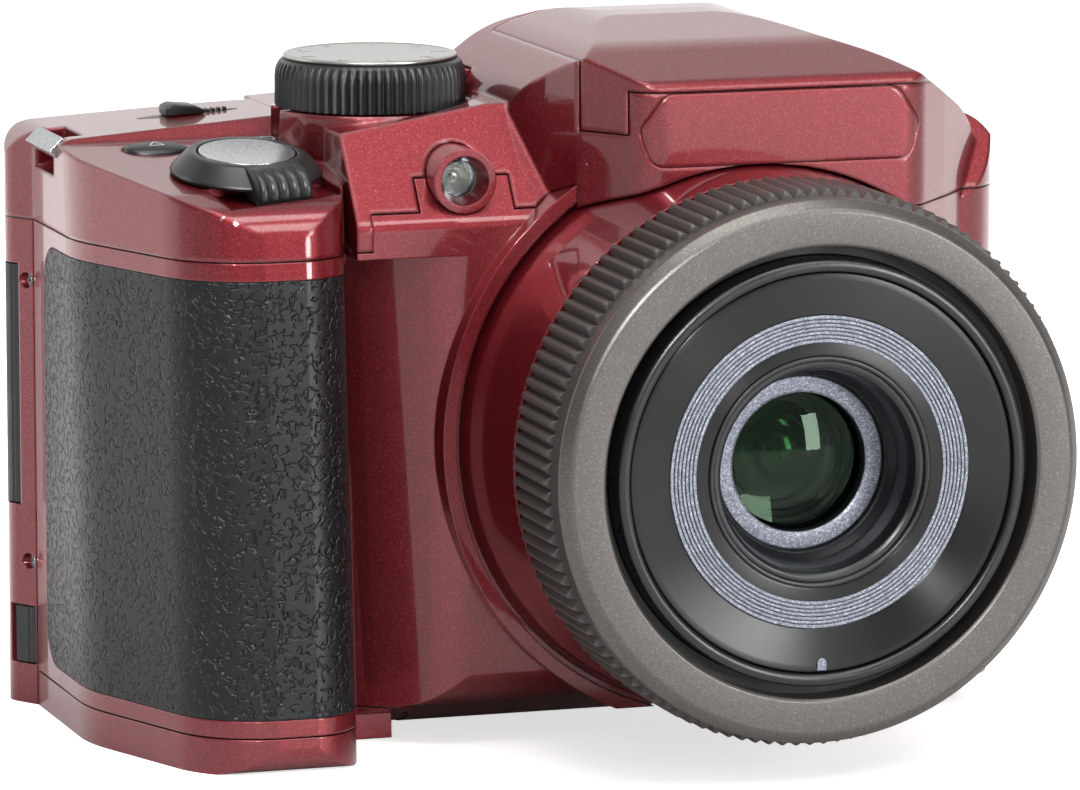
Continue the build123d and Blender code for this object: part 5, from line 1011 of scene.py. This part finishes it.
def recess_outline():
    """An ellipse with its ends drawn out to points."""
    outline = []
    for step in range(RECESS_STEPS):
        angle = 2 * math.pi * step / RECESS_STEPS
        bend = abs(math.sin(angle)) ** 1.3 * math.copysign(1, math.sin(angle))
        along = RECESS_CENTRE + RECESS_HALF_LENGTH * math.cos(angle)
        outline.append((along, RECESS_HALF_WIDTH * bend))
    return outline


def make_controls():
    black = moulded_plastic("black_control_plastic", "#1A1B1D", 0.36)
    pale = moulded_plastic("pale_print", "#C9CACB", 0.6)
    make_dial(black, turned_dial_face(), pale)
    make_lever(black)
    make_top_buttons(black, pale)
    make_power_slider(black)
    make_lamp_reflector()


def turned_dial_face():
    """The dial's disc: matt silver with a spun sheen."""
    return metallic_paint("spun_silver", "#A3A19D", "#B3B1AD", "#C8C6C2", 0.3, 0.85,
                          size=0.1, depth=0.001)


CUP_STEPS = 8
CUP_MOUTH = 1.7
CUP_DEPTH = 2.9


def make_lamp_reflector():
    """The bright cup and the small bulb behind the focus lamp's window."""
    facing = Matrix.Rotation(math.radians(90), 4, "X")
    place = Matrix.Translation((LAMP_X, LAMP_FRONT, LAMP_HEIGHT)) @ facing
    chrome = moulded_plastic("chromed_reflector", "#D9DBDD", 0.12, 1.0)
    cup = [(2.1, -2.1), (2.1, -5.5), (0.3, -5.5), (0.3, -5.0)]
    for step in range(1, CUP_STEPS + 1):
        share = step / CUP_STEPS
        cup.append((0.3 + CUP_MOUTH * share, -5.0 + CUP_DEPTH * share * share))
    mesh = turned_mesh("lamp_cup", cup, place, 64)
    new_piece("lamp_cup", mesh, chrome, "camera_body")
    bulb = [(0.0, -5.2), (0.7, -5.2), (0.7, -3.9), (0.5, -3.5), (0.0, -3.3)]
    glass = clear_pane("bulb_acrylic", "#F4E9D2")
    mesh = turned_mesh("lamp_bulb", bulb, place, 48)
    new_piece("lamp_bulb", mesh, glass, "camera_body")


# The floor, the lamps and the surroundings

FLOOR_SIDE = 8.0


PAPER_GLOW = 0.68
GLOW_FROM_Y = 0.0
GLOW_FULL_Y = 0.14


def white_sweep():
    """White paper. The camera sees its glow everywhere, and gloss sees it behind the object."""
    material, tree, shader = new_material("white_sweep")
    path = add(tree, "ShaderNodeLightPath").outputs
    parts = add(tree, "ShaderNodeSeparateXYZ", links=[("Vector", object_points(tree))]).outputs
    behind = spread(tree, parts["Y"], GLOW_FROM_Y, GLOW_FULL_Y)
    seen = add(tree, "ShaderNodeMath", operation="MULTIPLY_ADD",
               links=[(0, path["Is Glossy Ray"]), (1, behind), (2, path["Is Camera Ray"])])
    glow = add(tree, "ShaderNodeMath", operation="MULTIPLY", links=[(0, seen.outputs[0])])
    glow.inputs[1].default_value = PAPER_GLOW
    tree.links.new(glow.outputs[0], shader.inputs["Emission Strength"])
    set_shader(shader, Base_Color=srgb("#F2F2F2"), Roughness=0.9, Specular_IOR_Level=0.1,
               Emission_Color=srgb("#FFFFFF"))
    return material


def make_floor():
    mesh = bpy.data.meshes.new("floor")
    half = FLOOR_SIDE / 2
    corners = [(-half, -half, 0), (half, -half, 0), (half, half, 0), (-half, half, 0)]
    mesh.from_pydata(corners, [], [(0, 1, 2, 3)])
    floor = bpy.data.objects.new("floor", mesh)
    bpy.context.scene.collection.objects.link(floor)
    mesh.materials.append(white_sweep())


LAMP_AIM = (-0.02, -0.02, 0.04)
# Each softbox is a name, a place, a width and a height in metres, and a power in watts.
SOFTBOXES = (
    ("left_softbox", (-1.1, 0.6, 0.5), 0.5, 0.8, 2),
    ("right_softbox", (0.62, -1.12, 0.22), 0.25, 0.6, 10),
    ("front_softbox", (0.3, -0.72, 0.85), 0.5, 0.4, 4),
    ("top_softbox", (-0.1, -0.25, 1.3), 0.9, 0.7, 12),
)
SPOTS = (("spot_one", (-0.62, -1.0, 0.78)), ("spot_two", (-0.39, -1.22, 0.67)))
SPOT_SIDE = 0.07
SPOT_POWER = 10


def area_lamp(name, place, width, height, power):
    data = bpy.data.lights.new(name, "AREA")
    data.shape = "RECTANGLE"
    data.size = width
    data.size_y = height
    data.energy = power
    lamp = bpy.data.objects.new(name, data)
    lamp.location = place
    lamp.rotation_euler = (Vector(LAMP_AIM) - Vector(place)).to_track_quat("-Z", "Y").to_euler()
    bpy.context.scene.collection.objects.link(lamp)
    return lamp


# Shares of the way that a ray looks, from -1 to 1, between which one surface fades to another.
WALL_FADE = (0.0, 0.5)
CEILING_FADE = (0.45, 0.85)
BACKDROP = (1.05, 1.05, 1.05, 1)
ROOM = (0.13, 0.13, 0.135, 1)
CEILING = (0.5, 0.5, 0.5, 1)


def make_world():
    """A white backdrop behind the object, in a room that is dark in front of it."""
    world = bpy.data.worlds.new("studio")
    world.use_nodes = True
    tree = world.node_tree
    tree.nodes.clear()
    toward = add(tree, "ShaderNodeTexCoord").outputs["Generated"]
    parts = add(tree, "ShaderNodeSeparateXYZ", links=[("Vector", toward)]).outputs
    backward = spread(tree, parts["Y"], *WALL_FADE)
    walls = colour_steps(tree, backward, [(0.0, ROOM), (1.0, BACKDROP)])
    upward = spread(tree, parts["Z"], *CEILING_FADE)
    shade = add(tree, "ShaderNodeMix", data_type="RGBA")
    tree.links.new(upward, shade.inputs[0])
    tree.links.new(walls, shade.inputs[6])
    shade.inputs[7].default_value = CEILING
    background = add(tree, "ShaderNodeBackground", links=[("Color", shade.outputs[2])],
                     Strength=1.0)
    add(tree, "ShaderNodeOutputWorld", links=[("Surface", background.outputs["Background"])])
    bpy.context.scene.world = world


def make_light():
    """Softboxes, and two small lamps that only gloss sees, for glints."""
    make_world()
    for name, place, width, height, power in SOFTBOXES:
        area_lamp(name, place, width, height, power)
    for name, place in SPOTS:
        spot = area_lamp(name, place, SPOT_SIDE, SPOT_SIDE, SPOT_POWER)
        spot.visible_diffuse = False


def main():
    make_camera()
    finish_solids(pearl_red_lacquer())
    make_lens()
    make_controls()
    make_floor()
    make_light()
    bpy.context.scene.view_settings.view_transform = "Standard"


main()
